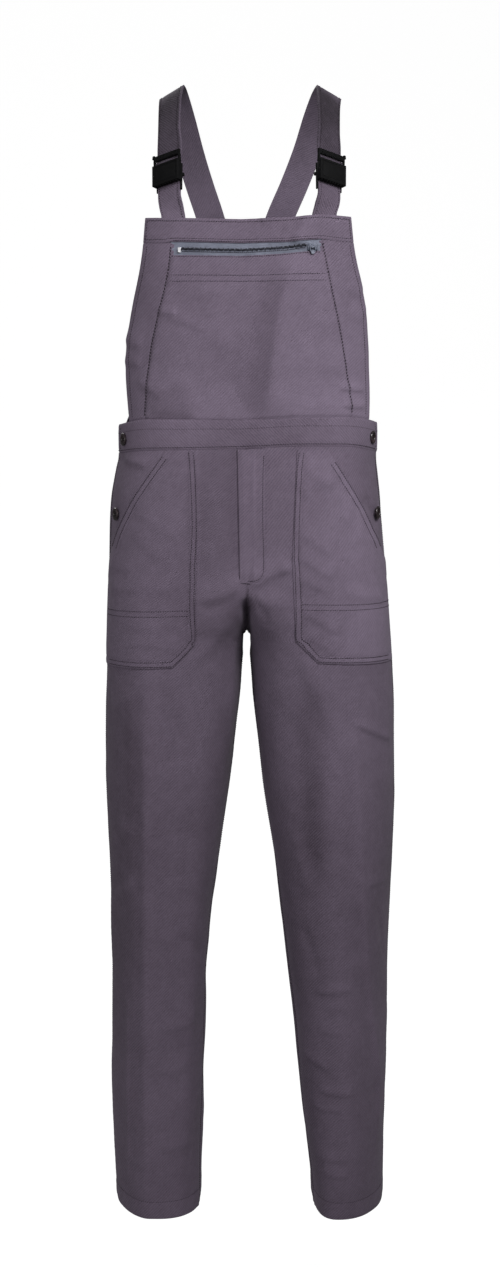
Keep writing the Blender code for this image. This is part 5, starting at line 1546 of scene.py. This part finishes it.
def bib_dashes(surface):
    """The rows of thin stitches, and the thicker ones that rope along the seams."""
    def row(xs, heights, lift, **size):
        heights = np.broadcast_to(heights, np.shape(xs))
        return stitches(surface, np.column_stack((xs, heights)), lift, False, **size)

    rows = []
    ropes = []
    heights = np.arange(BAND_SEAM - 3.0, BIB_BOTTOM + 1.0, -4.0)
    edges = np.array([bib_edges(z) for z in heights]).T
    for line, sign in ((1, 1.0), (2, -1.0)):
        ropes += row(edges[line], heights, 0.15, pitch=3.9, length=3.3, radius=0.62, lean=24.0 * sign)
    for line, inset in ((0, 6.0), (3, -6.0)):
        rows += row(edges[line] + inset, heights, 0.15)
    for z in (-242.0, -250.0):
        rows += row([bib_edges(z)[1] + 4.0, 0.0, bib_edges(z)[2] - 4.0], z, 0.2)
    for curve, z, lift in ((UPPER_SWAY, BAND_SEAM + 1.5, 0.3), (LOWER_SWAY, POCKET_TOP - 1.6, 0.05)):
        xs = np.arange(bib_edges(z)[1] + 2.0, bib_edges(z)[2] - 2.0, 4.0)
        ropes += row(xs, z + sway(curve, xs), lift, pitch=2.9, length=2.5, radius=0.45)
    top = BIB_TOP - 3.6
    rows += row(np.linspace(bib_edges(top)[0] + 3.0, bib_edges(top)[3] - 3.0, 9), top, 0.45)
    xs = np.linspace(bib_edges(BAND_SEAM)[0] + 3.0, bib_edges(BAND_SEAM)[3] - 3.0, 60)
    rows += row(xs, BAND_SEAM + 4.4 + sway(UPPER_SWAY, xs), 0.42, radius=0.32)
    heights = np.array((BIB_TOP - 4.0, -186.0, BAND_SEAM + 4.0))
    for line, inset in ((0, 3.5), (3, -3.5)):
        rows += row([bib_edges(z)[line] + inset for z in heights], heights, 0.45)
    return rows, ropes


def make_yoke(surface):
    heights = np.linspace(YOKE_ROWS[0][0], -425.0, 76)
    reach = np.interp(heights, TABLE_HEIGHTS, YOKE_COLUMN)[:, None]
    across = reach * np.linspace(-1.0, 1.0, 125)
    drawn = down_rows(heights, 125)
    side = reach - np.abs(across)
    top = heights[0] - drawn
    near = np.minimum(side, top)
    lift = rolled(side, 0.6) + rolled(top, 0.6) - 0.25 * hill(near - 6.0, 1.8)
    wear_and_shade = surface.wear_and_shade_at(across, drawn) - 0.1 * hill(near - 6.0, 1.5)
    points, normals = surface.at(across, drawn, lift)
    piece = cloth_piece("cloth_back_yoke", points, normals, -across, drawn, wear_and_shade)
    declare_cloth("back_yoke")


def yoke_dashes(surface):
    dashes = []
    heights = np.arange(-240.0, -423.0, -4.0)
    reach = np.interp(heights, TABLE_HEIGHTS, YOKE_COLUMN) - 6.0
    for sign in (-1.0, 1.0):
        dashes += stitches(surface, np.column_stack((reach * sign, heights)), 0.15, False)
    dashes += stitches(surface, [(-52.0, -239.0), (0.0, -239.0), (52.0, -239.0)], 0.15, False)
    return dashes


# ---- zip ----

def make_zip_tapes(surface):
    tapes = (("upper", TAPE_TOP, TAPE_MIDDLE, "bib_top_band"), ("lower", TAPE_MIDDLE, TAPE_BOTTOM, "bib_centre"))
    _, right, left, _ = bib_edges(TAPE_MIDDLE)
    xs = np.linspace(right - 3.0, left + 3.0, 96)
    for name, top, bottom, rests_on in tapes:
        heights = np.linspace(top, bottom, 9)
        across = np.tile(xs, (len(heights), 1))
        drawn = down_rows(heights, len(xs))
        coil_side = np.abs(drawn - TAPE_MIDDLE)
        lift = 0.35 * hill(coil_side, 1.6) - (CLOTH + GAP)
        points, normals = surface.at(across, drawn + sway(ZIP_SWAY, across) * hill(coil_side, 8.0), lift)
        unworn = np.zeros(across.shape)
        piece = cloth_piece(f"tape_zip_{name}", points, normals, across, drawn, unworn, "tape", 0.9)
        declare_cloth(f"zip_tape_{name}")


COIL_PITCH = 1.6
COIL_WAVE = 5.6           # the loops' slight twist comes back after this length


def make_zip_coil(surface):
    """The coil: one flattened loop of monofilament, repeated along the tape's middle with a slight twist."""
    leave_nothing_picked()
    bpy.ops.mesh.primitive_torus_add(location=(0, 0, 0), rotation=(0, math.pi / 2, 0), major_segments=8,
                                     minor_segments=4, major_radius=1.15 * MM, minor_radius=0.42 * MM)
    loop = bpy.context.active_object
    loop.scale = (1.1, 0.62, 1.35)
    settle_place()
    shape = np.array([vertex.co for vertex in loop.data.vertices]) / MM
    polygons = [tuple(face.vertices) for face in loop.data.polygons]
    bpy.data.objects.remove(loop, do_unlink=True)
    points = []
    for index, x in enumerate(np.arange(COIL_START_X, COIL_END_X, COIL_PITCH)):
        wave = x * math.tau / COIL_WAVE
        height = TAPE_MIDDLE + 0.6 + 0.5 * math.sin(wave) + (0.3 if index % 2 else -0.3) + sway(ZIP_SWAY, x)
        place, normal = surface.at(np.array([x]), np.array([height]), 0.25 * math.cos(wave) - 0.6)
        turn = math.atan2(normal[0, 0], -normal[0, 1])
        spin = np.array(((math.cos(turn), -math.sin(turn), 0.0), (math.sin(turn), math.cos(turn), 0.0), (0, 0, 1)))
        points.append(shape @ spin.T + place[0])
    mesh = bpy.data.meshes.new("zip_coil_loops")
    mesh.from_pydata((np.vstack(points) * MM).tolist(), [], repeated(polygons, len(points), len(shape)))
    for face in mesh.polygons:
        face.use_smooth = True
    piece = set_as_garment(hang("zip_coil_loops", mesh), "coil")
    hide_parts("zip_coil")
    # a row of stitches under the coil, whose dark thread also paints the line of shade below it
    xs = np.arange(COIL_START_X, COIL_END_X, 4.0)
    line = np.column_stack((xs, TAPE_MIDDLE - 2.7 + sway(ZIP_SWAY, xs)))
    return stitches(surface, line, -1.2, False, pitch=2.6, length=2.5, radius=0.5)


# ---- straps ----

def ribbon_across(side, turn, tilt):
    turn = math.radians(turn)
    tilt = math.radians(tilt)
    across = np.array((math.cos(tilt) * math.cos(turn), -math.cos(tilt) * math.sin(turn), math.sin(tilt)))
    if side == "left":
        across[0] = -across[0]
    return across


def buckle_axes(side):
    across = ribbon_across(side, BUCKLE_TURN, BUCKLE_TILT)
    lean = math.radians(BUCKLE_LEAN)
    upward = np.array((0.0, math.sin(lean), math.cos(lean)))
    along = upward - across * (upward @ across)
    along /= np.linalg.norm(along)
    outward = np.cross(across, along) if side == "right" else np.cross(along, across)
    return across, along, outward


STRAP_SHARES = np.linspace(-0.5, 0.5, 15)


def straight_row(centre, across):
    return centre + across * (STRAP_WIDTH * STRAP_SHARES)[:, None]


def buckle_row(side, distance, out, share):
    across, along, outward = buckle_axes(side)
    return straight_row(np.array(BUCKLE_PLACE[side]) + along * distance + outward * out, across * share)


def row_behind_bib(bib, side, z):
    sign = 1.0 if side == "right" else -1.0
    xs = STRAP_ON_BIB_X[side] + STRAP_SHARES * STRAP_WIDTH * TAB_FOOT * sign
    places, _ = bib.at(xs, np.full(len(xs), z), -(CLOTH + GAP + STRAP_WALL / 2 + 0.2))
    return places


def row_on_yoke(yoke, side, centre_x, z):
    sign = 1.0 if side == "right" else -1.0
    lean = math.radians(SHOULDER_ROWS[-1][5])
    xs = centre_x + STRAP_SHARES * STRAP_WIDTH * sign * math.cos(lean)
    heights = z + STRAP_SHARES * STRAP_WIDTH * math.sin(lean)
    across = np.array([yoke.across_of_x(x, height) for x, height in zip(xs, heights)])
    places, _ = yoke.at(across, heights, GAP + STRAP_WALL / 2)
    places[:, 2] = heights
    return places


def smooth_rows(rows, steps):
    """Rows along a smooth curve through the given ones."""
    filled = []
    last = len(rows) - 1
    for index in range(last):
        before = rows[max(0, index - 1)]
        start = rows[index]
        end = rows[index + 1]
        after = rows[min(last, index + 2)]
        bend = before * 2 - start * 5 + end * 4 - after
        turn = start * 3 - before - end * 3 + after
        count = max(1, int(round(np.linalg.norm(end[7] - start[7]) / steps)))
        for step in range(count):
            t = step / count
            filled.append(0.5 * (start * 2 + (end - before) * t + bend * t * t + turn * t ** 3))
    filled.append(rows[-1])
    return np.array(filled)


# painted shade: the straps darker down the front and the left tab darker; painted light on the back, paler towards
# the yoke
STRAP_SHADE = {"right": (0.27, 0.56), "left": (0.50, 0.84)}      # darker down the front, low and high
TAB_SHADE = {"right": 0.0, "left": 0.3}
STRAP_PAINTED_LIGHT = {"right": 0.5, "left": 0.6}         # paler towards the yoke


def make_strap(name, rows, side, nodes, seed, creases=()):
    grid = smooth_rows(rows, 2.6)
    core = grid * np.array((0.0, 0.0, 1.0))
    core[:, :, 2] = -140.0
    normals = outward_normals(grid, core)
    edge = np.minimum(STRAP_SHARES + 0.5, 0.5 - STRAP_SHARES) * STRAP_WIDTH
    along = lengths_along(grid[:, 7])
    lift = -0.35 * hill(edge - 5.0, 2.0)[None, :] + 0.25 * even_noise(grid.shape[:2], (6.0, 4.0), seed)
    for place, depth, width in creases:
        slant = along[:, None] - place - 14.0 * STRAP_SHARES[None, :]
        lift = lift + depth * hill(slant, width) * (1.0 - 0.6 * np.abs(STRAP_SHARES[None, :]))
    grid = grid + normals * lift[:, :, None]
    across = np.tile(STRAP_SHARES * STRAP_WIDTH * (1.0 if side == "right" else -1.0), (len(grid), 1))
    drawn = down_rows(-along, grid.shape[1])
    front = ease((-grid[:, :, 1] - 4.0) / 30.0)
    above = ease((grid[:, :, 2] + 112.0) / 14.0)
    inner_edge = (0.5 - STRAP_SHARES)[None, :] * STRAP_WIDTH
    # painted light on the back part, painted shade down the front, and a darker line along the stitch rows
    wear_and_shade = STRAP_PAINTED_LIGHT[side] * (1.0 - front) * ease((-60.0 - grid[:, :, 2]) / 90.0)
    low, high = STRAP_SHADE[side]
    shade = low + (high - low) * ease((grid[:, :, 2] + 75.0) / 50.0)
    wear_and_shade = wear_and_shade - (shade + 0.10 * hill(edge - 3.5, 1.2)) * front * above - TAB_SHADE[side] * (1.0 - above) * front
    # painted highlight along the inner edge of the front
    wear_and_shade = wear_and_shade + (0.42 * hill(inner_edge, 1.2) - 0.05) * above * front
    piece = cloth_piece(name, grid, normals, across, drawn, wear_and_shade, "strap_twill" if above.any() else "twill",
                        STRAP_WALL - 0.4, 0.0)
    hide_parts(*nodes)
    dashes = []
    for inset in (3.0, STRAP_WIDTH - 4.0):
        share = inset / STRAP_WIDTH * (grid.shape[1] - 1)
        near = int(share)
        part = share - near
        line = grid[:, near] * (1 - part) + grid[:, near + 1] * part
        facing = normals[:, near] * (1 - part) + normals[:, near + 1] * part
        line = line + facing * (STRAP_WALL / 2 - 0.05)
        dashes += row_of_dashes(line[1:-1], facing[1:-1])
    return dashes


def make_straps(bib, yoke):
    dashes = []
    for seed, side in enumerate(("left", "right")):
        sewn = [row_behind_bib(bib, side, z) for z in STRAP_BEHIND_BIB]
        tab = sewn + [buckle_row(side, *place) for place in TAB_ROWS]
        dashes += make_strap(f"cloth_strap_tab_{side}", tab, side, [f"strap_tab_{side}"],
                             300 + seed, ((34.0, -0.9, 3.0), (45.0, 0.8, 4.0)))
        strap = [buckle_row(side, *place) for place in STRAP_LOW_ROWS]
        for x_right, x_left, y, z, turn, tilt in SHOULDER_ROWS:
            x = x_right if side == "right" else x_left
            strap.append(straight_row(np.array((x, y, z), float), ribbon_across(side, turn, tilt)))
        strap += [row_on_yoke(yoke, side, *place) for place in STRAP_ON_YOKE[side]]
        dashes += make_strap(f"cloth_strap_{side}", strap, side, [f"strap_{side}"],
                             310 + seed)
    return dashes


# ---- buckles ----
# Each is modelled flat: X across the strap, Y up along it and Z outwards, then set in its place.

def settle_place():
    """The active piece's place, turn and scale go into its mesh."""
    bpy.ops.object.transform_apply(location=True, rotation=True, scale=True)


def block(low, high):
    """A plain block between two corners (mm), left active and picked."""
    low = np.array(low, float)
    high = np.array(high, float)
    leave_nothing_picked()
    bpy.ops.mesh.primitive_cube_add(size=1.0, location=(low + high) / 2 * MM, scale=(high - low) * MM)
    settle_place()
    return bpy.context.active_object


def pick_faces(piece, wanted):
    """Pick the faces whose middle (mm) and normal pass the test."""
    bpy.ops.mesh.select_mode(type="FACE")
    bpy.ops.mesh.select_all(action="DESELECT")
    work = bmesh.from_edit_mesh(piece.data)
    for face in work.faces:
        face.select_set(bool(wanted(face.calc_center_median() / MM, face.normal)))
    work.select_flush(True)
    bmesh.update_edit_mesh(piece.data)


def push_faces(distance):
    bpy.ops.mesh.extrude_region_shrink_fatten(TRANSFORM_OT_shrink_fatten={"value": distance * MM})


def inset_faces(distance, **settings):
    bpy.ops.mesh.inset(thickness=distance * MM, **settings)


def facing(axis, sign):
    """The test for faces that look one way along an axis."""
    return lambda middle, normal: getattr(normal, axis) * sign > 0.9


def taper(piece, wanted, scale):
    """Make one end of a block smaller, or larger."""
    bpy.ops.object.mode_set(mode="EDIT")
    pick_faces(piece, wanted)
    bpy.ops.transform.resize(value=scale)
    bpy.ops.object.mode_set(mode="OBJECT")


def soften_edges(piece, width, segments=2):
    bevel = piece.modifiers.new("soft_edges", "BEVEL")
    bevel.width = width * MM
    bevel.segments = segments
    bevel.limit_method = "ANGLE"
    bevel.angle_limit = math.radians(40)
    apply_modifiers(piece)


def join_blocks(name, pieces):
    leave_nothing_picked()
    for piece in pieces:
        piece.select_set(True)
    bpy.context.view_layer.objects.active = pieces[0]
    bpy.ops.object.join()
    pieces[0].name = name
    pieces[0].data.name = name
    return pieces[0]


def set_in_buckle_place(piece, side):
    across, along, outward = buckle_axes(side)
    place = Matrix.Identity(4)
    for row in range(3):
        place[row][0] = across[row]
        place[row][1] = along[row]
        place[row][2] = outward[row]
        place[row][3] = BUCKLE_PLACE[side][row] * MM
    piece.data.transform(place)
    pick(piece)
    bpy.ops.object.mode_set(mode="EDIT")
    bpy.ops.mesh.select_all(action="SELECT")
    bpy.ops.mesh.normals_make_consistent(inside=False)
    bpy.ops.object.mode_set(mode="OBJECT")
    bpy.ops.object.shade_smooth_by_angle(angle=math.radians(35))


def make_buckle_body():
    """The socket: a flat moulded box with a mouth for the strap, grip teeth below, and a loop for the tab."""
    half, low, high, back, front = BODY_HALF, BODY_LOW, BODY_HIGH, BODY_BACK, BODY_FRONT
    body = block((-half, low, back), (half, high, front))
    bpy.ops.object.mode_set(mode="EDIT")
    pick_faces(body, facing("y", 1))
    inset_faces(1.2)
    push_faces(-16.0)
    pick_faces(body, lambda middle, normal: normal.z > 0.9 and middle.z > front - 0.1)
    inset_faces(2.6)
    push_faces(-0.45)
    inset_faces(1.6)
    push_faces(0.3)
    bpy.ops.object.mode_set(mode="OBJECT")
    soften_edges(body, 0.5)
    pieces = [body]
    for index in range(9):
        x = (index - 4) * 4.4
        tooth = block((x - 1.1, low - 1.3, back + 1.0), (x + 1.1, low + 0.6, front - 0.7))
        taper(tooth, facing("y", -1), (0.5, 1.0, 0.8))
        pieces.append(tooth)
    for sign, foot in ((-1.0, low - 6.5), (1.0, low - 12.0)):
        near, far = sorted((sign * (half - 2.4), sign * half))
        rail = block((near, foot, -1.6), (far, 6.0, back + 0.6))
        taper(rail, facing("y", -1), (0.7, 1.0, 0.6))
        soften_edges(rail, 0.4)
        pieces.append(rail)
    bar = block((-half + 0.4, -9.5, -5.2), (half - 0.4, -5.5, -1.5))
    bpy.ops.object.mode_set(mode="EDIT")
    pick_faces(bar, facing("z", -1))
    inset_faces(0.8)
    push_faces(0.5)
    bpy.ops.object.mode_set(mode="OBJECT")
    soften_edges(bar, 0.5)
    return pieces + [bar]


LADDER_RIBS = 17


def make_buckle_ladder():
    """The ladder: a ribbed bar over two side rails, with a slot the strap comes forward through."""
    half = LADDER_HALF
    middle_y = (LADDER_LOW + LADDER_HIGH) / 2 * MM
    height = (LADDER_HIGH - LADDER_LOW) * MM
    leave_nothing_picked()
    bpy.ops.mesh.primitive_grid_add(x_subdivisions=LADDER_RIBS, y_subdivisions=1, size=1.0,
                                    location=(0.0, middle_y, LADDER_BACK * MM), scale=(2 * half * MM, height, 1.0))
    bar = bpy.context.active_object
    settle_place()
    bar.data.transform(Matrix.Diagonal((2 * half * MM / bar.dimensions.x, height / bar.dimensions.y, 1.0, 1.0)))
    shift = middle_y - sum(vertex.co.y for vertex in bar.data.vertices) / len(bar.data.vertices)
    bar.data.transform(Matrix.Translation((0.0, shift, 0.0)))
    bpy.ops.object.mode_set(mode="EDIT")
    bpy.ops.mesh.select_all(action="SELECT")
    depth = (LADDER_FRONT - LADDER_BACK) * MM
    bpy.ops.mesh.extrude_region_move(TRANSFORM_OT_translate={"value": (0.0, 0.0, depth)})
    bpy.ops.mesh.select_all(action="SELECT")
    bpy.ops.mesh.normals_make_consistent(inside=False)
    step = 2 * half / LADDER_RIBS
    pick_faces(bar, lambda middle, normal: normal.z > 0.9 and round((middle.x + half) / step - 0.5) % 2 == 1)
    inset_faces(0.35, use_individual=True)
    push_faces(0.9)
    bpy.ops.object.mode_set(mode="OBJECT")
    soften_edges(bar, 0.3, 1)
    pieces = [bar]
    for sign in (-1.0, 1.0):
        near, far = sorted((sign * (half - 2.2), sign * half))
        rail = block((near, RAIL_FOOT, LADDER_BACK - 0.4), (far, LADDER_LOW + 1.0, LADDER_FRONT + 0.3))
        bpy.ops.object.mode_set(mode="EDIT")
        pick_faces(rail, facing("y", -1))
        bpy.ops.transform.translate(value=(0.0, 0.0, -0.8 * MM))
        bpy.ops.object.mode_set(mode="OBJECT")
        soften_edges(rail, 0.4)
        pieces.append(rail)
    ear = block((-half - 1.6, LADDER_HIGH - 3.0, LADDER_BACK),
                (-half + 2.2, LADDER_HIGH + 1.8, LADDER_FRONT + 0.8))
    taper(ear, facing("y", 1), (0.75, 1.0, 0.8))
    soften_edges(ear, 0.4)
    return pieces + [ear]


def make_buckles():
    for side in ("left", "right"):
        for name, node, make in (("buckle_body", "buckle_socket", make_buckle_body),
                                 ("buckle_ladder", "buckle_ladder", make_buckle_ladder)):
            piece = join_blocks(f"{name}_{side}_ready", make())
            set_in_buckle_place(piece, side)
            set_as_garment(piece, "buckle")
            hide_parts(f"{node}_{side}")


# ---- light, floor and camera ----

def set_camera():
    data = bpy.data.cameras.new("viewing_camera")
    data.sensor_width = 36.0
    data.lens = 53.99
    camera = hang("viewing_camera", data)
    camera.location = (0.0013, -2.55, -0.40)
    camera.rotation_euler = (math.radians(83.0), 0.0, 0.0)
    bpy.context.scene.camera = camera


LIGHTS = {                # place and aim, width and height (m), power (W), spread (degrees)
    "key_softbox": ((0.68, -1.34, 0.56), (0.0, 0.0, -0.45), 0.85, 0.6, 8.5, 108.0),
    "fill_softbox": ((-1.4, -1.9, -0.3), (0.0, 0.0, -0.9), 1.2, 1.2, 8.0, 180.0),
    "neck_softbox": ((-0.02, -0.06, -0.10), (0.065, 0.07, -0.07), 0.08, 0.08, 0.05, 90.0),
    "back_softbox": ((-0.6, 1.7, 0.5), (0.0, 0.0, -0.5), 1.0, 0.8, 16.0, 180.0),
}


def soft_light(name, place, aim, width, height, power, spread):
    data = bpy.data.lights.new(name, "AREA")
    data.shape = "RECTANGLE"
    data.size = width
    data.size_y = height
    data.energy = power
    data.spread = math.radians(spread)
    light = hang(name, data)
    light.location = place
    light.rotation_euler = (Vector(aim) - Vector(place)).to_track_quat("-Z", "Y").to_euler()
    light.visible_camera = False


def make_studio():
    """A pale floor that sweeps up behind into a backdrop, and soft light from the front, right and above."""
    rows = [(-4.0, -1.62), (1.6, -1.62)]          # y and z, with a quarter turn of 1 m radius
    for turn in np.radians(range(10, 91, 10)):
        rows.append((1.6 + math.sin(turn), -0.62 - math.cos(turn)))
    rows.append((2.6, 3.0))
    verts = [(x, y, z) for y, z in rows for x in (-5.0, 5.0)]
    faces = repeated([(0, 1, 3, 2)], len(rows) - 1, 2)
    mesh = bpy.data.meshes.new("studio_floor")
    mesh.from_pydata(verts, [], faces)
    for face in mesh.polygons:
        face.use_smooth = True
    floor = hang("studio_floor", mesh)
    paint, nodes, shader = new_finish("pale_floor", {
        "Base Color": (0.34, 0.34, 0.34, 1.0), "Roughness": 0.9, "Emission Color": (1.0, 1.0, 1.0, 1.0)})
    seen = nodes.add("ShaderNodeLightPath").outputs["Is Camera Ray"]
    nodes.join(nodes.times(seen, 0.88), shader["Emission Strength"])
    behind = nodes.add("ShaderNodeNewGeometry").outputs["Backfacing"]
    nodes.join(nodes.sum("SUBTRACT", 1.0, behind), shader["Alpha"])
    mesh.materials.append(paint)
    world = bpy.data.worlds.new("studio_air")
    world.use_nodes = True
    air = Nodes(world.node_tree)
    background = world.node_tree.nodes["Background"].inputs
    background["Color"].default_value = (1.0, 1.0, 1.0, 1.0)
    seen = air.add("ShaderNodeLightPath").outputs["Is Camera Ray"]
    air.join(air.plus(air.times(seen, 0.72), 0.28), background["Strength"])
    bpy.context.scene.world = world
    for name, light in LIGHTS.items():
        soft_light(name, *light)
    bpy.context.scene.view_settings.view_transform = "Standard"


def dress_hard_parts():
    """The hard CAD pieces keep their shape and take their finish."""
    finishes = {
        "zip_slider": "metal", "zip_pull": "metal", "zip_end_stop": "stop",
        "button_waist_left": "button", "button_waist_right": "button",
        "button_side_left": "button", "button_side_right": "button",
    }
    for node, finish in finishes.items():
        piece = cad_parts[node]
        piece.data.materials.clear()
        piece.data.materials.append(FINISHES[finish])


def main():
    set_camera()
    make_studio()
    legs = make_leg_surfaces()
    make_leg_panels(legs)
    make_pockets(legs)
    make_fly(legs)
    bands = {face: band_surface(face) for face in ("front", "back")}
    make_waistband(bands)
    bib = bib_surface()
    bib.shape(FOLDS["bib"], ((0.5, 22.0), (0.14, 8.0)), 71, np.ones(bib.across.shape))
    make_bib(bib)
    yoke = yoke_surface()
    yoke_window = ease((yoke.across[:, -1:] - np.abs(yoke.across)) / 10.0 + 0.3)
    yoke.shape(FOLDS["yoke"], ((0.6, 22.0), (0.16, 8.0)), 91, yoke_window)
    make_yoke(yoke)
    make_zip_tapes(bib)
    coil_rows = make_zip_coil(bib)
    strap_rows = make_straps(bib, yoke)
    make_buckles()
    thread_piece("stitches_pockets", pocket_dashes(legs) + fly_dashes(legs))
    thread_piece("stitches_legs", leg_dashes(legs))
    thread_piece("stitches_waistband", band_dashes(bands))
    rows, ropes = bib_dashes(bib)
    thread_piece("stitches_bib", rows + yoke_dashes(yoke))
    thread_piece("stitches_bib_seams", ropes + coil_rows, "shaded_thread")
    thread_piece("stitches_straps", strap_rows)
    dress_hard_parts()


main()
